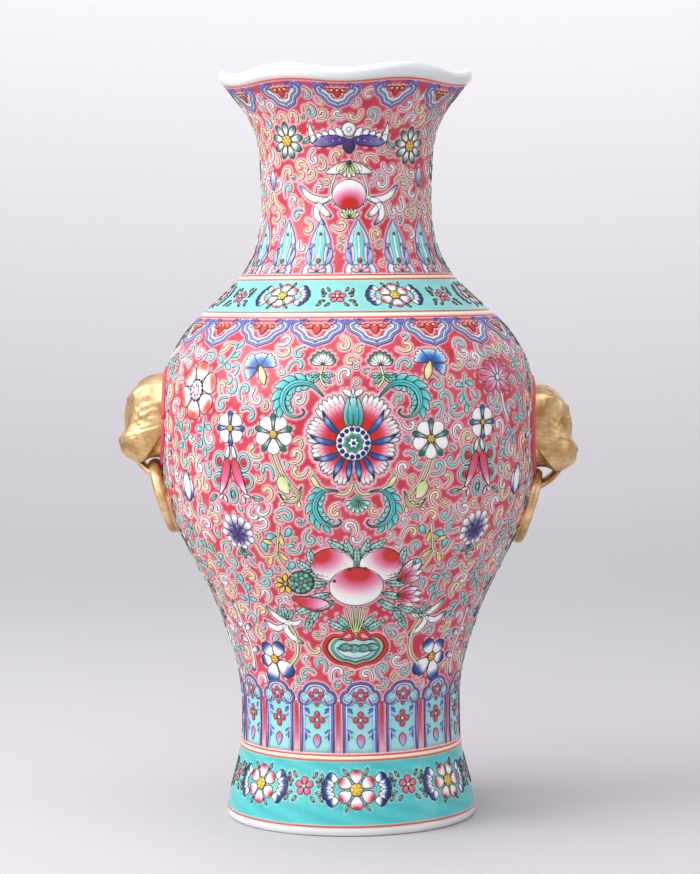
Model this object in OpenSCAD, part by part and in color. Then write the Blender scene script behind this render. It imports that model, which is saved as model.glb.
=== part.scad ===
// Famille-rose baluster vase: porcelain sections thrown one by one and luted
// together, a six-lobed lip, and two gilt lion masks that bite fixed rings.
// Millimetres. +Z is up, the masks stand on the X axis, the painted front faces -Y.
// The origin is the centre of the footprint.

/* [Body] */
// Height from the table to the top of the lip's lobes
total_h = 460; // [430:1:490]
// Largest diameter of the body
body_d = 231.2; // [220:0.2:242]
// Wall thickness, measured square to the wall
wall = 5; // [3.5:0.1:7]

/* [Foot] */
// Height of the underside of the base floor above the table
floor_z = 26; // [22:1:30]
// Thickness of the base floor
floor_t = 6; // [4:0.5:8]
// Width of the bare ring that the vase stands on
rest_w = 6.5; // [4:0.5:8]

/* [Lip] */
// Number of lobes round the lip
lobes = 6; // [4:1:8]
// How far the lobes rise and fall about the middle height of the lip
lobe_rise = 2.2; // [0:0.1:3]
// How far the rolled lip stands out past the collar
lip_roll = 4.2; // [2:0.1:6]

/* [Handles] */
// Height of the muzzles on a vase 460 mm tall, halfway between the two sides
mask_z = 230; // [222:1:238]
// How much higher the left handle sits than the right one
stagger = 8; // [0:0.5:10]
// How far a mask's brow stands out from its own upright axis
mask_r = 26.5; // [22:0.5:28]
// Outside diameter of the rings
ring_d = 48; // [44:0.5:50]
// Thickness of the rings
ring_t = 5; // [4:0.2:6]
// Lean of the rings, which follow the wall inwards
ring_lean = 17; // [14:0.5:19]

/* [Hidden] */
// Height and girth that the outline's numbers are written for
DRAWN_H = 460;
DRAWN_D = 231.2;
KZ = total_h / DRAWN_H;
KR = body_d / DRAWN_D;

// Outer outline, foot to collar: [height, radius] where the curve changes.
OUTLINE = [
    [8, 76.5], [20, 74.2], [34, 70.4], [60, 66.8], [88, 68.7], [115, 75.8],
    [145, 88.2], [168, 100.2], [188, 109.2], [212, 114.3], [240, 115.6],
    [272, 113.2], [291, 106], [306, 94.3], [324, 74.7], [335, 64.2],
    [347, 57.2], [362, 53.3], [388, 52.3], [406, 52.8], [420, 55.2],
    [433, 60.8], [449, 74]
];

// Heights where one thrown section is luted to the next
JOINT_FOOT = 46 * KZ;
JOINT_BELLY = 240 * KZ;
JOINT_NECK = 333 * KZ;
JOINT_MOUTH = 426 * KZ;
// The red line under the lip, where the collar ends and the roll begins
LIP_LINE = 449 * KZ;
// Height of one conical step of a section's wall
STEP = 6;
// The two sides that carry a handle
LEFT = -1;
RIGHT = 1;

ROUND = 120;
$fn = ROUND;

WHITE = [0.95, 0.95, 0.93];
ROSE = [0.87, 0.38, 0.47];
TURQUOISE = [0.42, 0.83, 0.78];
GILT = [0.76, 0.58, 0.28];

// ---- outline as a smooth curve through its points ----

function knot_z(i) = OUTLINE[i][0] * KZ;
function knot_r(i) = OUTLINE[i][1] * KR;
function last() = len(OUTLINE) - 1;
function rise(i) = (knot_r(i + 1) - knot_r(i)) / (knot_z(i + 1) - knot_z(i));
// Slope at point i: the slopes on each side of it, the nearer one counting more
function slope(i) =
    i == 0 ? rise(0) :
    i == last() ? rise(last() - 1) :
    let (a = knot_z(i) - knot_z(i - 1), b = knot_z(i + 1) - knot_z(i))
        (rise(i - 1) * b + rise(i) * a) / (a + b);
function span(z, i = 0) = i >= last() - 1 || z <= knot_z(i + 1) ? i : span(z, i + 1);

// Outer radius at height z, as a cubic between the two nearest points
function outer_r(z) =
    let (i = span(z), h = knot_z(i + 1) - knot_z(i), t = (z - knot_z(i)) / h)
        knot_r(i) * (1 - 3 * t * t + 2 * t * t * t)
        + knot_r(i + 1) * (3 * t * t - 2 * t * t * t)
        + slope(i) * h * (t - 2 * t * t + t * t * t)
        + slope(i + 1) * h * (t * t * t - t * t);
function wall_slope(z) = (outer_r(z + 0.5) - outer_r(z - 0.5));
// Inner radius: the wall's thickness is kept square to its slope
function inner_r(z) = outer_r(z) - wall * sqrt(1 + pow(wall_slope(z), 2));
function steps(z0, z1) =
    let (n = ceil((z1 - z0) / STEP)) [for (i = [0 : n]) z0 + (z1 - z0) * i / n];

// ---- thrown sections ----

// A section's wall between two heights, as a ring of short cones
module section_wall(z0, z1) {
    zs = steps(z0, z1);
    n = len(zs) - 1;
    rotate_extrude()
        polygon(concat(
            [for (z = zs) [outer_r(z), z]],
            [for (i = [n : -1 : 0]) [inner_r(zs[i]), zs[i]]]));
}

// The same section without its hollow, used to fit the handles to the wall
module section_core(z0, z1) {
    rotate_extrude()
        polygon(concat([[0, z0]], [for (z = steps(z0, z1)) [outer_r(z), z]], [[0, z1]]));
}

module body_core() {
    section_core(JOINT_FOOT, JOINT_BELLY);
    section_core(JOINT_BELLY, JOINT_NECK);
}

// Radius of the seat that the base floor is luted into
function seat_r() = inner_r(floor_z + floor_t);

// Flared foot: rolled white rim, bare standing ring, and a seat for the floor
module foot() {
    rim_z = knot_z(0);
    rim_r = knot_r(0);
    rest_r = rim_r - 2.6;
    edge = [for (a = [-80 : 20 : 0]) [rest_r + 2.9 * cos(a), 4 + 4 * sin(a)]];
    zs = steps(rim_z, JOINT_FOOT);
    seat_top = floor_z + floor_t;
    inner_zs = steps(seat_top, JOINT_FOOT);
    color(TURQUOISE)
        rotate_extrude()
            polygon(concat(
                [[rest_r - rest_w, 0], [rest_r, 0]],
                edge,
                [for (z = zs) [outer_r(z), z]],
                [for (i = [len(inner_zs) - 1 : -1 : 0]) [inner_r(inner_zs[i]), inner_zs[i]]],
                [[seat_r(), floor_z], [seat_r() + 0.8, floor_z - 2], [rest_r - rest_w - 1, 3]]));
}

// Disc that closes the body inside the foot
module base_floor() {
    color(WHITE)
        translate([0, 0, floor_z])
            cylinder(h = floor_t, r = seat_r());
}

module lower_body() {
    color(ROSE) section_wall(JOINT_FOOT, JOINT_BELLY);
}

module upper_body() {
    color(ROSE) section_wall(JOINT_BELLY, JOINT_NECK);
}

module neck() {
    color(ROSE) section_wall(JOINT_NECK, JOINT_MOUTH);
}

// ---- six-lobed mouth ----

MOUTH_SIDES = 96;
LIP_TOP = total_h - lobe_rise;
LIP_MID = (LIP_LINE + LIP_TOP) / 2 + 0.6;
LIP_OUT = outer_r(LIP_LINE) + lip_roll;

// Outline of the mouth at its middle height: collar up, round the roll, and down inside
MOUTH_OUTLINE = concat(
    [for (z = steps(JOINT_MOUTH, LIP_LINE)) [outer_r(z), z]],
    [
        [LIP_OUT - 0.9, LIP_MID - 2.6], [LIP_OUT, LIP_MID],
        [LIP_OUT - 0.5, LIP_TOP - 2], [LIP_OUT - 2.1, LIP_TOP - 0.4],
        [LIP_OUT - 4.2, LIP_TOP], [LIP_OUT - 6.4, LIP_TOP - 1.1],
        [LIP_OUT - 8.6, LIP_TOP - 4]
    ],
    [for (z = [LIP_LINE - 3, LIP_LINE - 9, LIP_LINE - 16, JOINT_MOUTH]) [inner_r(z), z]]);

// The wave dies away down the collar, so the mouth meets the neck on a flat ring
function wave(z, a) =
    -lobe_rise * cos(lobes * a) * pow(max(0, z - JOINT_MOUTH) / (LIP_TOP - JOINT_MOUTH), 1.6);

module mouth() {
    m = len(MOUTH_OUTLINE);
    n = MOUTH_SIDES;
    points = [
        for (k = [0 : n - 1], p = MOUTH_OUTLINE)
            let (a = 360 * k / n)
                [p[0] * sin(a), -p[0] * cos(a), p[1] + wave(p[1], a)]
    ];
    faces = [
        for (k = [0 : n - 1], j = [0 : m - 1])
            let (k2 = (k + 1) % n, j2 = (j + 1) % m)
                [k * m + j, k * m + j2, k2 * m + j2, k2 * m + j]
    ];
    color(WHITE) polyhedron(points, faces, convexity = 6);
}

// ---- handles: a press-moulded mask, its lower jaw, and a ring luted to the wall ----

MASK_X = 113 * KR;
MUZZLE_R = 12;
// Mouth of the mask: a tunnel from side to side
BITE_X = MASK_X + 9.5;
BITE_R = 12.1;
BITE_DROP = 21.3;
// Lower jaw: a strip bent round this centre, hung from the upper lip
JAW_X = MASK_X + 5;
JAW_DROP = 7;
JAW_R = 15.3;
JAW_T = 4.9;
JAW_W = 26;
LIP_DROP = 13.6;

// Half outline of the head: [distance out, height above the muzzle]
HEAD = [
    [19, -13.6], [23.5, -9], [25.5, -3], [26, 6], [mask_r, 16], [mask_r - 1, 25],
    [mask_r - 4, 32], [mask_r - 10.5, 38], [mask_r - 19, 42], [0, 43.5]
];
CAVITY_IN = 5.5;

function side_z(side) = mask_z * KZ - side * stagger / 2;

// Pieces are drawn on the +X side and mirrored across for the left
module on_side(side) {
    mirror([side < 0 ? 1 : 0, 0, 0]) children();
}

module mask(side) {
    z0 = side_z(side);
    color(GILT)
        difference() {
            union() {
                translate([MASK_X, 0, z0])
                    rotate_extrude() polygon(concat([[0, -LIP_DROP]], HEAD));
                translate([MASK_X + 18.5, 0, z0]) sphere(r = MUZZLE_R);
            }
            body_core();
            translate([BITE_X, 0, z0 - BITE_DROP])
                rotate([90, 0, 0]) cylinder(h = 80, r = BITE_R, center = true);
            translate([MASK_X, 0, z0 - LIP_DROP - 20]) cube([60, 80, 40], center = true);
            translate([MASK_X, 0, z0])
                rotate_extrude()
                    polygon([
                        [0, -3], [17, -3], [mask_r - CAVITY_IN, 6], [mask_r - CAVITY_IN, 24],
                        [mask_r - CAVITY_IN - 5, 31], [0, 35]
                    ]);
        }
}

// Strip that closes the mouth under the ring and ties back to the wall
module jaw(side) {
    z0 = side_z(side);
    color(GILT)
        difference() {
            intersection() {
                translate([JAW_X, 0, z0 - JAW_DROP])
                    rotate([90, 0, 0])
                        difference() {
                            cylinder(h = JAW_W, r = JAW_R, center = true);
                            cylinder(h = JAW_W + 2, r = JAW_R - JAW_T, center = true);
                        }
                translate([MASK_X + 1, 0, z0 - 60]) cylinder(h = 60 - LIP_DROP, r = 19.5);
            }
            body_core();
        }
}

RING_R = (ring_d - ring_t) / 2;
// Centre of the ring's lowest point: how far it stands off the wall, and its drop below
// the muzzle. It stands off by less than the ring's radius, so the ring is let into the wall.
RING_OFF = 2.5;
RING_FOOT_DROP = 55.6;

module ring(side) {
    z0 = side_z(side) - RING_FOOT_DROP;
    color(GILT)
        difference() {
            translate([outer_r(z0) + RING_OFF, 0, z0])
                rotate([0, ring_lean, 0])
                    translate([0, 0, RING_R])
                        rotate([0, 90, 0])
                            rotate_extrude() translate([RING_R, 0]) circle(d = ring_t, $fn = 32);
            body_core();
        }
}

module mask_left() { on_side(LEFT) mask(LEFT); }
module mask_right() { on_side(RIGHT) mask(RIGHT); }
module jaw_left() { on_side(LEFT) jaw(LEFT); }
module jaw_right() { on_side(RIGHT) jaw(RIGHT); }
module ring_left() { on_side(LEFT) ring(LEFT); }
module ring_right() { on_side(RIGHT) ring(RIGHT); }

foot();
base_floor();
lower_body();
upper_body();
neck();
mouth();
mask_left();
mask_right();
jaw_left();
jaw_right();
ring_left();
ring_right();
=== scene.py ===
import math

import bpy
import numpy as np
from mathutils import Matrix, Vector, kdtree


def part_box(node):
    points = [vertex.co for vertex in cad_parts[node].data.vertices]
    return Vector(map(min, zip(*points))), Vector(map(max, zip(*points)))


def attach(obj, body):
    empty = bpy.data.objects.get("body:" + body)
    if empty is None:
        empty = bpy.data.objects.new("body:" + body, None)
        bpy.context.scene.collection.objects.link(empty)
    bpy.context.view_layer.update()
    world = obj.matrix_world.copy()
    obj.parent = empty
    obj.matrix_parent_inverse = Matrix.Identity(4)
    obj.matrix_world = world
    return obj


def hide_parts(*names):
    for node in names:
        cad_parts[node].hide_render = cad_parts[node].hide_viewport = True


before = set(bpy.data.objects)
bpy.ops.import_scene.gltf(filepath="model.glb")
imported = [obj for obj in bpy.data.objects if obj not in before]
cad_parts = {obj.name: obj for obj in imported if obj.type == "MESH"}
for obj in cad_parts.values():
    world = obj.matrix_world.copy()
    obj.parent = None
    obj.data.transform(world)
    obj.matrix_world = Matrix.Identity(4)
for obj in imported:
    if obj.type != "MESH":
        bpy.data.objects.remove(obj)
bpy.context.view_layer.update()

# Lengths below are in millimetres and angles in degrees, until a mesh is made.
# theta runs round the vase: 0 is the painted front (-Y), +90 is the +X side.
MM = 0.001
RNG = np.random.default_rng(18)


# ---------------------------------------------------------------- the wall

SECTIONS = ("foot", "lower_body", "upper_body", "neck", "mouth")
LOBES = 6
PROBE_ANGLE = math.radians(90 / LOBES)  # where the lip's wave passes through zero


def node_box(name):
    """Lowest and highest corner of a CAD node, in millimetres."""
    low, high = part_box(name)
    return np.array(low) / MM, np.array(high) / MM


TOP_Z = node_box("mouth")[1][2]
JOINT_Z = {name: node_box(name)[0][2] for name in SECTIONS}
COLLAR_Z = JOINT_Z["mouth"]
FLARE_Z = 8.0          # where the flare of the foot ends above its rolled rim
RIM_Z = 5.8            # red line above the white foot rim
FOOT_LINE = 46.0       # heights of the double lines between the bands
SHOULDER_LINE = 311.0
NECK_LINE = 333.0
LIP_Z = TOP_Z - 11.0   # red line under the white lip
WALL = 5.0             # thickness of the porcelain
GROUND_T = 0.3         # thickness of the enamel ground over it


def probe(z, outside):
    """Radius of the CAD wall at height z, from outside or from the axis."""
    name = [n for n in SECTIONS if JOINT_Z[n] <= z][-1]
    away = Vector((math.sin(PROBE_ANGLE), -math.cos(PROBE_ANGLE), 0))
    start = away * (0.3 if outside else 0.0) + Vector((0, 0, z * MM))
    hit, place, _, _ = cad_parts[name].ray_cast(start, -away if outside else away)
    return math.hypot(place.x, place.y) / MM if hit else None


def smooth(values, width):
    """Gaussian blur of evenly spaced values, with straight ends."""
    k = int(width * 4)
    kernel = np.exp(-0.5 * (np.arange(-k, k + 1) / width) ** 2)
    ends = (2 * values[0] - values[k:0:-1], values, 2 * values[-1] - values[-2:-k - 2:-1])
    return np.convolve(np.concatenate(ends), kernel / kernel.sum(), "valid")


class Wall:
    """The outer surface as tables against the distance s along the outline."""

    def __init__(self):
        step = 0.5
        z = np.arange(FLARE_Z + 0.2, LIP_Z - 0.2, step)
        found = [probe(v, True) for v in z]
        z = np.array([a for a, r in zip(z, found) if r])
        r = np.array([r for r in found if r])
        fine = np.arange(z[0], z[-1], step)
        r = smooth(np.interp(fine, z, r), 3.0 / step)
        # carry the two ends straight on, to reach the painted lines
        z = np.concatenate(([RIM_Z - 0.6], fine, [LIP_Z + 0.6]))
        slope0 = (r[1] - r[0]) / step
        slope1 = (r[-1] - r[-2]) / step
        r = np.concatenate(([r[0] - slope0 * (fine[0] - z[0])], r,
                            [r[-1] + slope1 * (z[-1] - fine[-1])]))
        self.z, self.r = z, r
        self.s = np.concatenate(([0], np.cumsum(np.hypot(np.diff(z), np.diff(r)))))
        dz, dr = np.gradient(z, self.s), np.gradient(r, self.s)
        size = np.hypot(dz, dr)
        self.nr, self.nz = dz / size, -dr / size
        top = [v.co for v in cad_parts["mouth"].data.vertices]
        front = max(v.z for v in top if abs(v.x) < 0.003 and v.y < 0)
        self.rise = (TOP_Z - front / MM) / 2

    def s_at(self, z):
        return np.interp(z, self.z, self.s)

    def r_at(self, s):
        return np.interp(s, self.s, self.r)

    def wave(self, z, theta):
        grow = np.clip((z - COLLAR_Z) / (TOP_Z - self.rise - COLLAR_Z), 0, None) ** 1.6
        return -self.rise * np.cos(LOBES * theta) * grow

    def point(self, theta, s, h):
        """Points on the wall at theta (radians), distance s and height h above it."""
        r = np.interp(s, self.s, self.r) + h * np.interp(s, self.s, self.nr)
        z = np.interp(s, self.s, self.z) + h * np.interp(s, self.s, self.nz)
        z = z + self.wave(z, theta)
        return np.stack((r * np.sin(theta), -r * np.cos(theta), z), -1)


wall = Wall()


# ---------------------------------------------------------------- colours and materials

def rgb(r, g, b):
    """Linear colour from the 0-255 values a paint chart gives."""
    c = np.array([r, g, b], float) / 255
    return np.where(c <= 0.04045, c / 12.92, ((c + 0.055) / 1.055) ** 2.4)


WHITE = rgb(250, 250, 248)
PORCELAIN = rgb(238, 240, 238)
ROSE = rgb(194, 34, 54)
ROSE_PALE = rgb(214, 80, 104)
HALO = rgb(246, 200, 208)
TURQUOISE = rgb(92, 208, 208)
TURQUOISE_DEEP = rgb(42, 172, 178)
MINT = rgb(176, 232, 220)
TEAL = rgb(14, 112, 88)
NAVY = rgb(18, 30, 104)
BLUE = rgb(30, 98, 180)
SKY = rgb(140, 190, 228)
VIOLET = rgb(92, 104, 196)
LILAC = rgb(170, 174, 224)
PURPLE = rgb(84, 48, 140)
RED = rgb(206, 30, 24)
CORAL = rgb(226, 92, 60)
PINK = rgb(228, 110, 158)
CREAM = rgb(248, 238, 196)
YELLOW = rgb(244, 204, 70)
OLIVE = rgb(206, 218, 120)
INK = rgb(30, 38, 38)


def mix(a, b, t):
    """Blend of two colours; t may be an array."""
    t = np.clip(np.asarray(t, float), 0, 1)[..., None]
    return np.asarray(a) * (1 - t) + np.asarray(b) * t


def run(*colours):
    """Stops for colours that follow one another at even distances."""
    return [(k / (len(colours) - 1), colour) for k, colour in enumerate(colours)]


def ramp(stops, t):
    """Colour along a list of (position, colour) stops."""
    at = [p for p, _ in stops]
    return np.stack([np.interp(t, at, [c[k] for _, c in stops]) for k in range(3)], -1)


def new_material(name):
    mat = bpy.data.materials.new(name)
    mat.use_nodes = True
    return mat, mat.node_tree, mat.node_tree.nodes["Principled BSDF"]


def put(node, **values):
    """Sets inputs of a node: Coat_Weight=0.45 sets "Coat Weight"."""
    for name, value in values.items():
        node.inputs[name.replace("_", " ")].default_value = value
    return node


def add(tree, kind, **values):
    return put(tree.nodes.new("ShaderNode" + kind), **values)


def glassy(shader, roughness=0.42, coat=0.45):
    put(shader, Roughness=roughness, IOR=1.4, Coat_Weight=coat, Coat_Roughness=0.17)


def noise(tree, scale, detail, rough=0.5, stretch=None):
    """Noise fixed to the object, stretched along its axes for brush marks."""
    place = add(tree, "TexCoord").outputs["Object"]
    tex = add(tree, "TexNoise", Scale=scale, Detail=detail, Roughness=rough)
    if stretch:
        mapping = add(tree, "Mapping", Scale=stretch)
        tree.links.new(place, mapping.inputs["Vector"])
        place = mapping.outputs["Vector"]
    tree.links.new(place, tex.inputs["Vector"])
    return tex.outputs["Fac"]


def grade(tree, value, low, high, ends=(0.0, 1.0)):
    """Base colour that runs from low to high as a value does between its two ends."""
    tint = add(tree, "ValToRGB")
    for stop, place, colour in zip(tint.color_ramp.elements, ends, (low, high)):
        stop.position = place
        stop.color = (*colour, 1)
    tree.links.new(value, tint.inputs["Fac"])
    tree.links.new(tint.outputs["Color"], tree.nodes["Principled BSDF"].inputs["Base Color"])


def rough_up(tree, height, strength, distance):
    """A bump on the main shader."""
    relief_node = add(tree, "Bump", Strength=strength, Distance=distance)
    tree.links.new(height, relief_node.inputs["Height"])
    tree.links.new(relief_node.outputs["Normal"], tree.nodes["Principled BSDF"].inputs["Normal"])


def enamel(name, colour):
    """Raised enamel of one colour, for strokes too thin to vary across."""
    mat, _, shader = new_material(name)
    glassy(put(shader, Base_Color=(*colour, 1)))
    return mat


def painted(name, mottle, bump=0.0):
    """Enamel whose colour comes from the brushwork stored in the mesh, lightly mottled."""
    mat, tree, shader = new_material(name)
    paint = add(tree, "VertexColor")
    paint.layer_name = "paint"
    wide = add(tree, "MapRange", From_Min=0.3, From_Max=0.7, To_Min=1 - mottle, To_Max=1 + mottle)
    tree.links.new(noise(tree, 900, 3), wide.inputs["Value"])
    tint = add(tree, "VectorMath")
    tint.operation = "SCALE"
    tree.links.new(paint.outputs["Color"], tint.inputs[0])
    tree.links.new(wide.outputs["Result"], tint.inputs["Scale"])
    tree.links.new(tint.outputs["Vector"], shader.inputs["Base Color"])
    if bump:
        rough_up(tree, noise(tree, 260, 2), bump, 0.0002)
    glassy(shader)
    return mat


def porcelain(name):
    """White body under clear glaze: a little blue where it pools, with a faint orange peel."""
    mat, tree, shader = new_material(name)
    grade(tree, noise(tree, 30, 4), rgb(226, 232, 232), PORCELAIN, (0.35, 0.65))
    rough_up(tree, noise(tree, 120, 2), 0.12, 0.0004)
    put(shader, Subsurface_Weight=0.05, Subsurface_Radius=(0.004, 0.004, 0.003))
    glassy(shader, 0.12, 0.6)
    return mat


# ---------------------------------------------------------------- relief: thin closed enamel

SINK = -0.12   # how far a patch's edge runs into the ground
SECTORS = 6
reliefs = {}
trace = []     # points that the rose ground keeps pale around: (theta, s, reach)


class Relief:
    """Vertices on the wall, faces and brushwork of one Blender piece."""

    def __init__(self, material, slot="painted_enamels"):
        self.material, self.slot = material, slot
        self.theta, self.s, self.h, self.paint, self.faces = [], [], [], [], []
        self.count = 0

    def add(self, theta, s, h, paint, faces, flip):
        self.theta.append(np.ravel(theta))
        self.s.append(np.ravel(s))
        self.h.append(np.ravel(h))
        self.paint.append(np.reshape(paint, (-1, 3)))
        order = -1 if flip else 1
        self.faces += [tuple(int(v) + self.count for v in f)[::order] for f in faces]
        self.count += self.theta[-1].size


def relief(name, material, slot="painted_enamels"):
    if name not in reliefs:
        reliefs[name] = Relief(material, slot)
    return reliefs[name]


def paper(spot):
    """The painted enamel of the sector that a spot lies in."""
    return relief(f"paint_{spot.sector()}", MAT_PAINT)


class Spot:
    """A place on the wall to paint at: local x to the right, y up, in millimetres."""

    def __init__(self, theta, z, turn=0.0, flip=False, taper=False):
        self.theta, self.s = math.radians(theta), float(wall.s_at(z))
        self.turn, self.flip, self.taper = math.radians(turn), flip, taper

    def map(self, xy):
        x, y = np.asarray(xy, float)[..., 0], np.asarray(xy, float)[..., 1]
        if self.flip:
            x = -x
        c, s = math.cos(self.turn), math.sin(self.turn)
        x, y = x * c - y * s, x * s + y * c
        far = self.s + y
        r = wall.r_at(self.s) if self.taper else wall.r_at(far)
        return self.theta + x / r, far

    def sector(self):
        return int((math.degrees(self.theta) % 360) // (360 / SECTORS))


def grid_faces(rows, cols, wrap_rows=False, wrap_cols=False):
    """Quads between neighbours of a grid of points, numbered row by row."""
    i, j = np.meshgrid(np.arange(rows if wrap_rows else rows - 1),
                       np.arange(cols if wrap_cols else cols - 1), indexing="ij")
    i2, j2 = (i + 1) % rows, (j + 1) % cols
    return np.stack((i * cols + j, i2 * cols + j, i2 * cols + j2, i * cols + j2), -1).reshape(-1, 4)


FLIPPED = [0, 3, 2, 1]   # the corners of a quad that faces the other way


def loft(target, spot, pts, h, paint):
    """Closed solid through rows of points: pts (n, m, 2), h (n, m), paint (n, m, 3)."""
    n, m = h.shape
    quads = grid_faces(n, m, wrap_cols=True)[:, FLIPPED]
    ends = [tuple(range(m))[::-1], tuple((n - 1) * m + v for v in range(m))]
    theta, s = spot.map(pts)
    target.add(theta, s, h, paint, quads.tolist() + ends, spot.flip)
    return theta, s


def normals(pts):
    d = np.gradient(pts, axis=0)
    d /= np.maximum(np.linalg.norm(d, axis=1), 1e-9)[:, None]
    return np.stack((-d[:, 1], d[:, 0]), 1), d


def rounded(pts, width, head=True, tail=True):
    """Adds the half-round ends of a brush stroke."""
    _, d = normals(pts)
    width = np.broadcast_to(np.asarray(width, float), (len(pts),)).copy()
    turns = np.radians([40, 72, 88])
    if head:
        add = pts[-1] + d[-1] * np.sin(turns)[:, None] * width[-1] / 2
        pts, width = np.vstack((pts, add)), np.concatenate((width, width[-1] * np.cos(turns)))
    if tail:
        add = (pts[0] - d[0] * np.sin(turns)[:, None] * width[0] / 2)[::-1]
        pts = np.vstack((add, pts))
        width = np.concatenate((width[0] * np.cos(turns)[::-1], width))
    return pts, width


def stroke(target, spot, pts, width, top=0.3, low=SINK, paint=INK, crown=0.62, ends=True):
    """A raised brush stroke along pts."""
    pts = np.asarray(pts, float)
    if ends:
        pts, width = rounded(pts, width)
    width = np.broadcast_to(np.asarray(width, float), (len(pts),))
    side, _ = normals(pts)
    across = np.array([-1, -crown, crown, 1]) * 0.5
    # the side vector points left of the stroke, so a row runs from left to right
    rows = pts[:, None] - side[:, None] * (width[:, None] * across)[..., None]
    h = np.tile([low, top, top, low], (len(pts), 1))
    colour = np.broadcast_to(paint, (*h.shape, 3))
    return loft(target, spot, rows, h, colour)


def blade(spot, path, half, paint, dome=0.18, base=0.12, columns=7):
    """A petal or leaf: a domed strip of half-width `half` along path. paint(t, w) colours it,
    with t from 0 to 1 along and w from -1 to 1 across."""
    path = np.asarray(path, float)
    half = np.maximum(np.broadcast_to(np.asarray(half, float), (len(path),)), 0.02)
    side, _ = normals(path)
    w = np.linspace(-1, 1, columns)
    w = np.concatenate(([-1], w, [1]))
    rows = path[:, None] - side[:, None] * (half[:, None] * w)[..., None]
    t = np.linspace(0, 1, len(path))[:, None] * np.ones_like(w)
    ww = np.ones((len(path), 1)) * w
    h = base + dome * (1 - ww ** 2) * np.sin(np.pi * np.clip(t, 0.04, 0.96))
    h[:, 0] = h[:, -1] = SINK
    loft(paper(spot), spot, rows, h, paint(t, ww))
    reach = side * half[:, None]
    return np.vstack((path + reach, (path - reach)[::-1]))


def disc(spot, centre, radius, paint, dome=0.3, base=0.12, rings=6, sides=36):
    """A rounded patch: radius(angle) from its centre. paint(x, y, q) with q from 0 to 1."""
    a = np.linspace(0, 2 * np.pi, sides, endpoint=False)
    edge = radius(a) if callable(radius) else np.full(sides, float(radius))
    q = (np.arange(1, rings + 1) / rings)[:, None]
    x = np.cos(a) * edge * q
    y = np.sin(a) * edge * q
    h = base + dome * (1 - q ** 2) * np.ones(sides)
    x = np.concatenate(([0], x.ravel(), x[-1]))
    y = np.concatenate(([0], y.ravel(), y[-1]))
    h = np.concatenate(([base + dome], h.ravel(), np.full(sides, SINK)))
    q = np.concatenate(([0], np.repeat(q[:, 0], sides), np.ones(sides)))
    faces = []
    for j in range(sides):
        j2 = (j + 1) % sides
        faces.append((0, 1 + j, 1 + j2))
        for i in range(rings):
            lo, hi = 1 + i * sides, 1 + (i + 1) * sides
            faces.append((lo + j, hi + j, hi + j2, lo + j2))
    faces.append(tuple(1 + rings * sides + j for j in range(sides))[::-1])
    theta, s = spot.map(np.stack((x + centre[0], y + centre[1]), -1))
    paper(spot).add(theta, s, h, paint(x, y, q), faces, spot.flip)
    return np.stack((np.cos(a) * edge + centre[0], np.sin(a) * edge + centre[1]), -1)


def fan(spot, a0, a1, r0, r1, paint, dome=0.2, base=0.12, steps=25, rings=7):
    """A petal spread between two angles: r1(u) is its edge, u from 0 to 1 across."""
    u = np.linspace(0, 1, steps)
    a = np.radians(a0 + (a1 - a0) * u)
    edge = r1(u)
    q = np.concatenate(([0], np.linspace(0, 1, rings), [1]))
    r = r0 + (edge[:, None] - r0) * q
    pts = np.stack((np.cos(a)[:, None] * r, np.sin(a)[:, None] * r), -1)
    uu, qq = u[:, None] * np.ones_like(q), np.ones((steps, 1)) * q
    h = base + dome * np.sin(np.pi * np.clip(uu, 0.03, 0.97)) * np.sin(np.pi * np.clip(qq, 0.1, 0.95))
    h[:, 0] = h[:, -1] = SINK
    loft(paper(spot), spot, pts, h, paint(uu, qq))
    outer = np.stack((np.cos(a) * edge, np.sin(a) * edge), -1)
    inner = np.array([[math.cos(a[0]), math.sin(a[0])], [math.cos(a[-1]), math.sin(a[-1])]]) * r0
    return np.vstack((inner[:1], outer, inner[1:]))


def plain(colour):
    """Paint of one colour for a disc."""
    return lambda x, y, q: np.broadcast_to(colour, (*np.shape(q), 3))


def closed(pts):
    return np.vstack((pts, pts[:1]))


def mirrored(half):
    """The whole outline of a motif from its right-hand half."""
    return np.vstack((half, (half * (-1, 1))[::-1][1:]))


def oval(x, y, rx, ry, gap=30):
    """A closed ring of points, one every gap degrees."""
    a = np.radians(np.arange(0, 361, gap))
    return np.stack((x + rx * np.cos(a), y + ry * np.sin(a)), -1)


def resample(pts, gap):
    """Evenly spaced points along a line."""
    pts = np.asarray(pts, float)
    far = np.concatenate(([0], np.cumsum(np.linalg.norm(np.diff(pts, axis=0), axis=1))))
    n = max(3, int(far[-1] / gap) + 1)
    at = np.linspace(0, far[-1], n)
    return np.stack((np.interp(at, far, pts[:, 0]), np.interp(at, far, pts[:, 1])), -1)


def curve(pts, gap=0.8):
    """A smooth line through a few points."""
    pts = np.asarray(pts, float)
    ext = np.vstack((2 * pts[0] - pts[1], pts, 2 * pts[-1] - pts[-2]))
    out = []
    for i in range(1, len(ext) - 2):
        p0, p1, p2, p3 = ext[i - 1:i + 3]
        t = np.linspace(0, 1, 12, endpoint=False)[:, None]
        out.append(0.5 * (2 * p1 + (p2 - p0) * t + (2 * p0 - 5 * p1 + 4 * p2 - p3) * t ** 2
                          + (3 * p1 - p0 - 3 * p2 + p3) * t ** 3))
    out.append(ext[-2:-1])
    return resample(np.vstack(out), gap)


CELL = 0.8     # size of the squares used to keep brushwork apart


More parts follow.
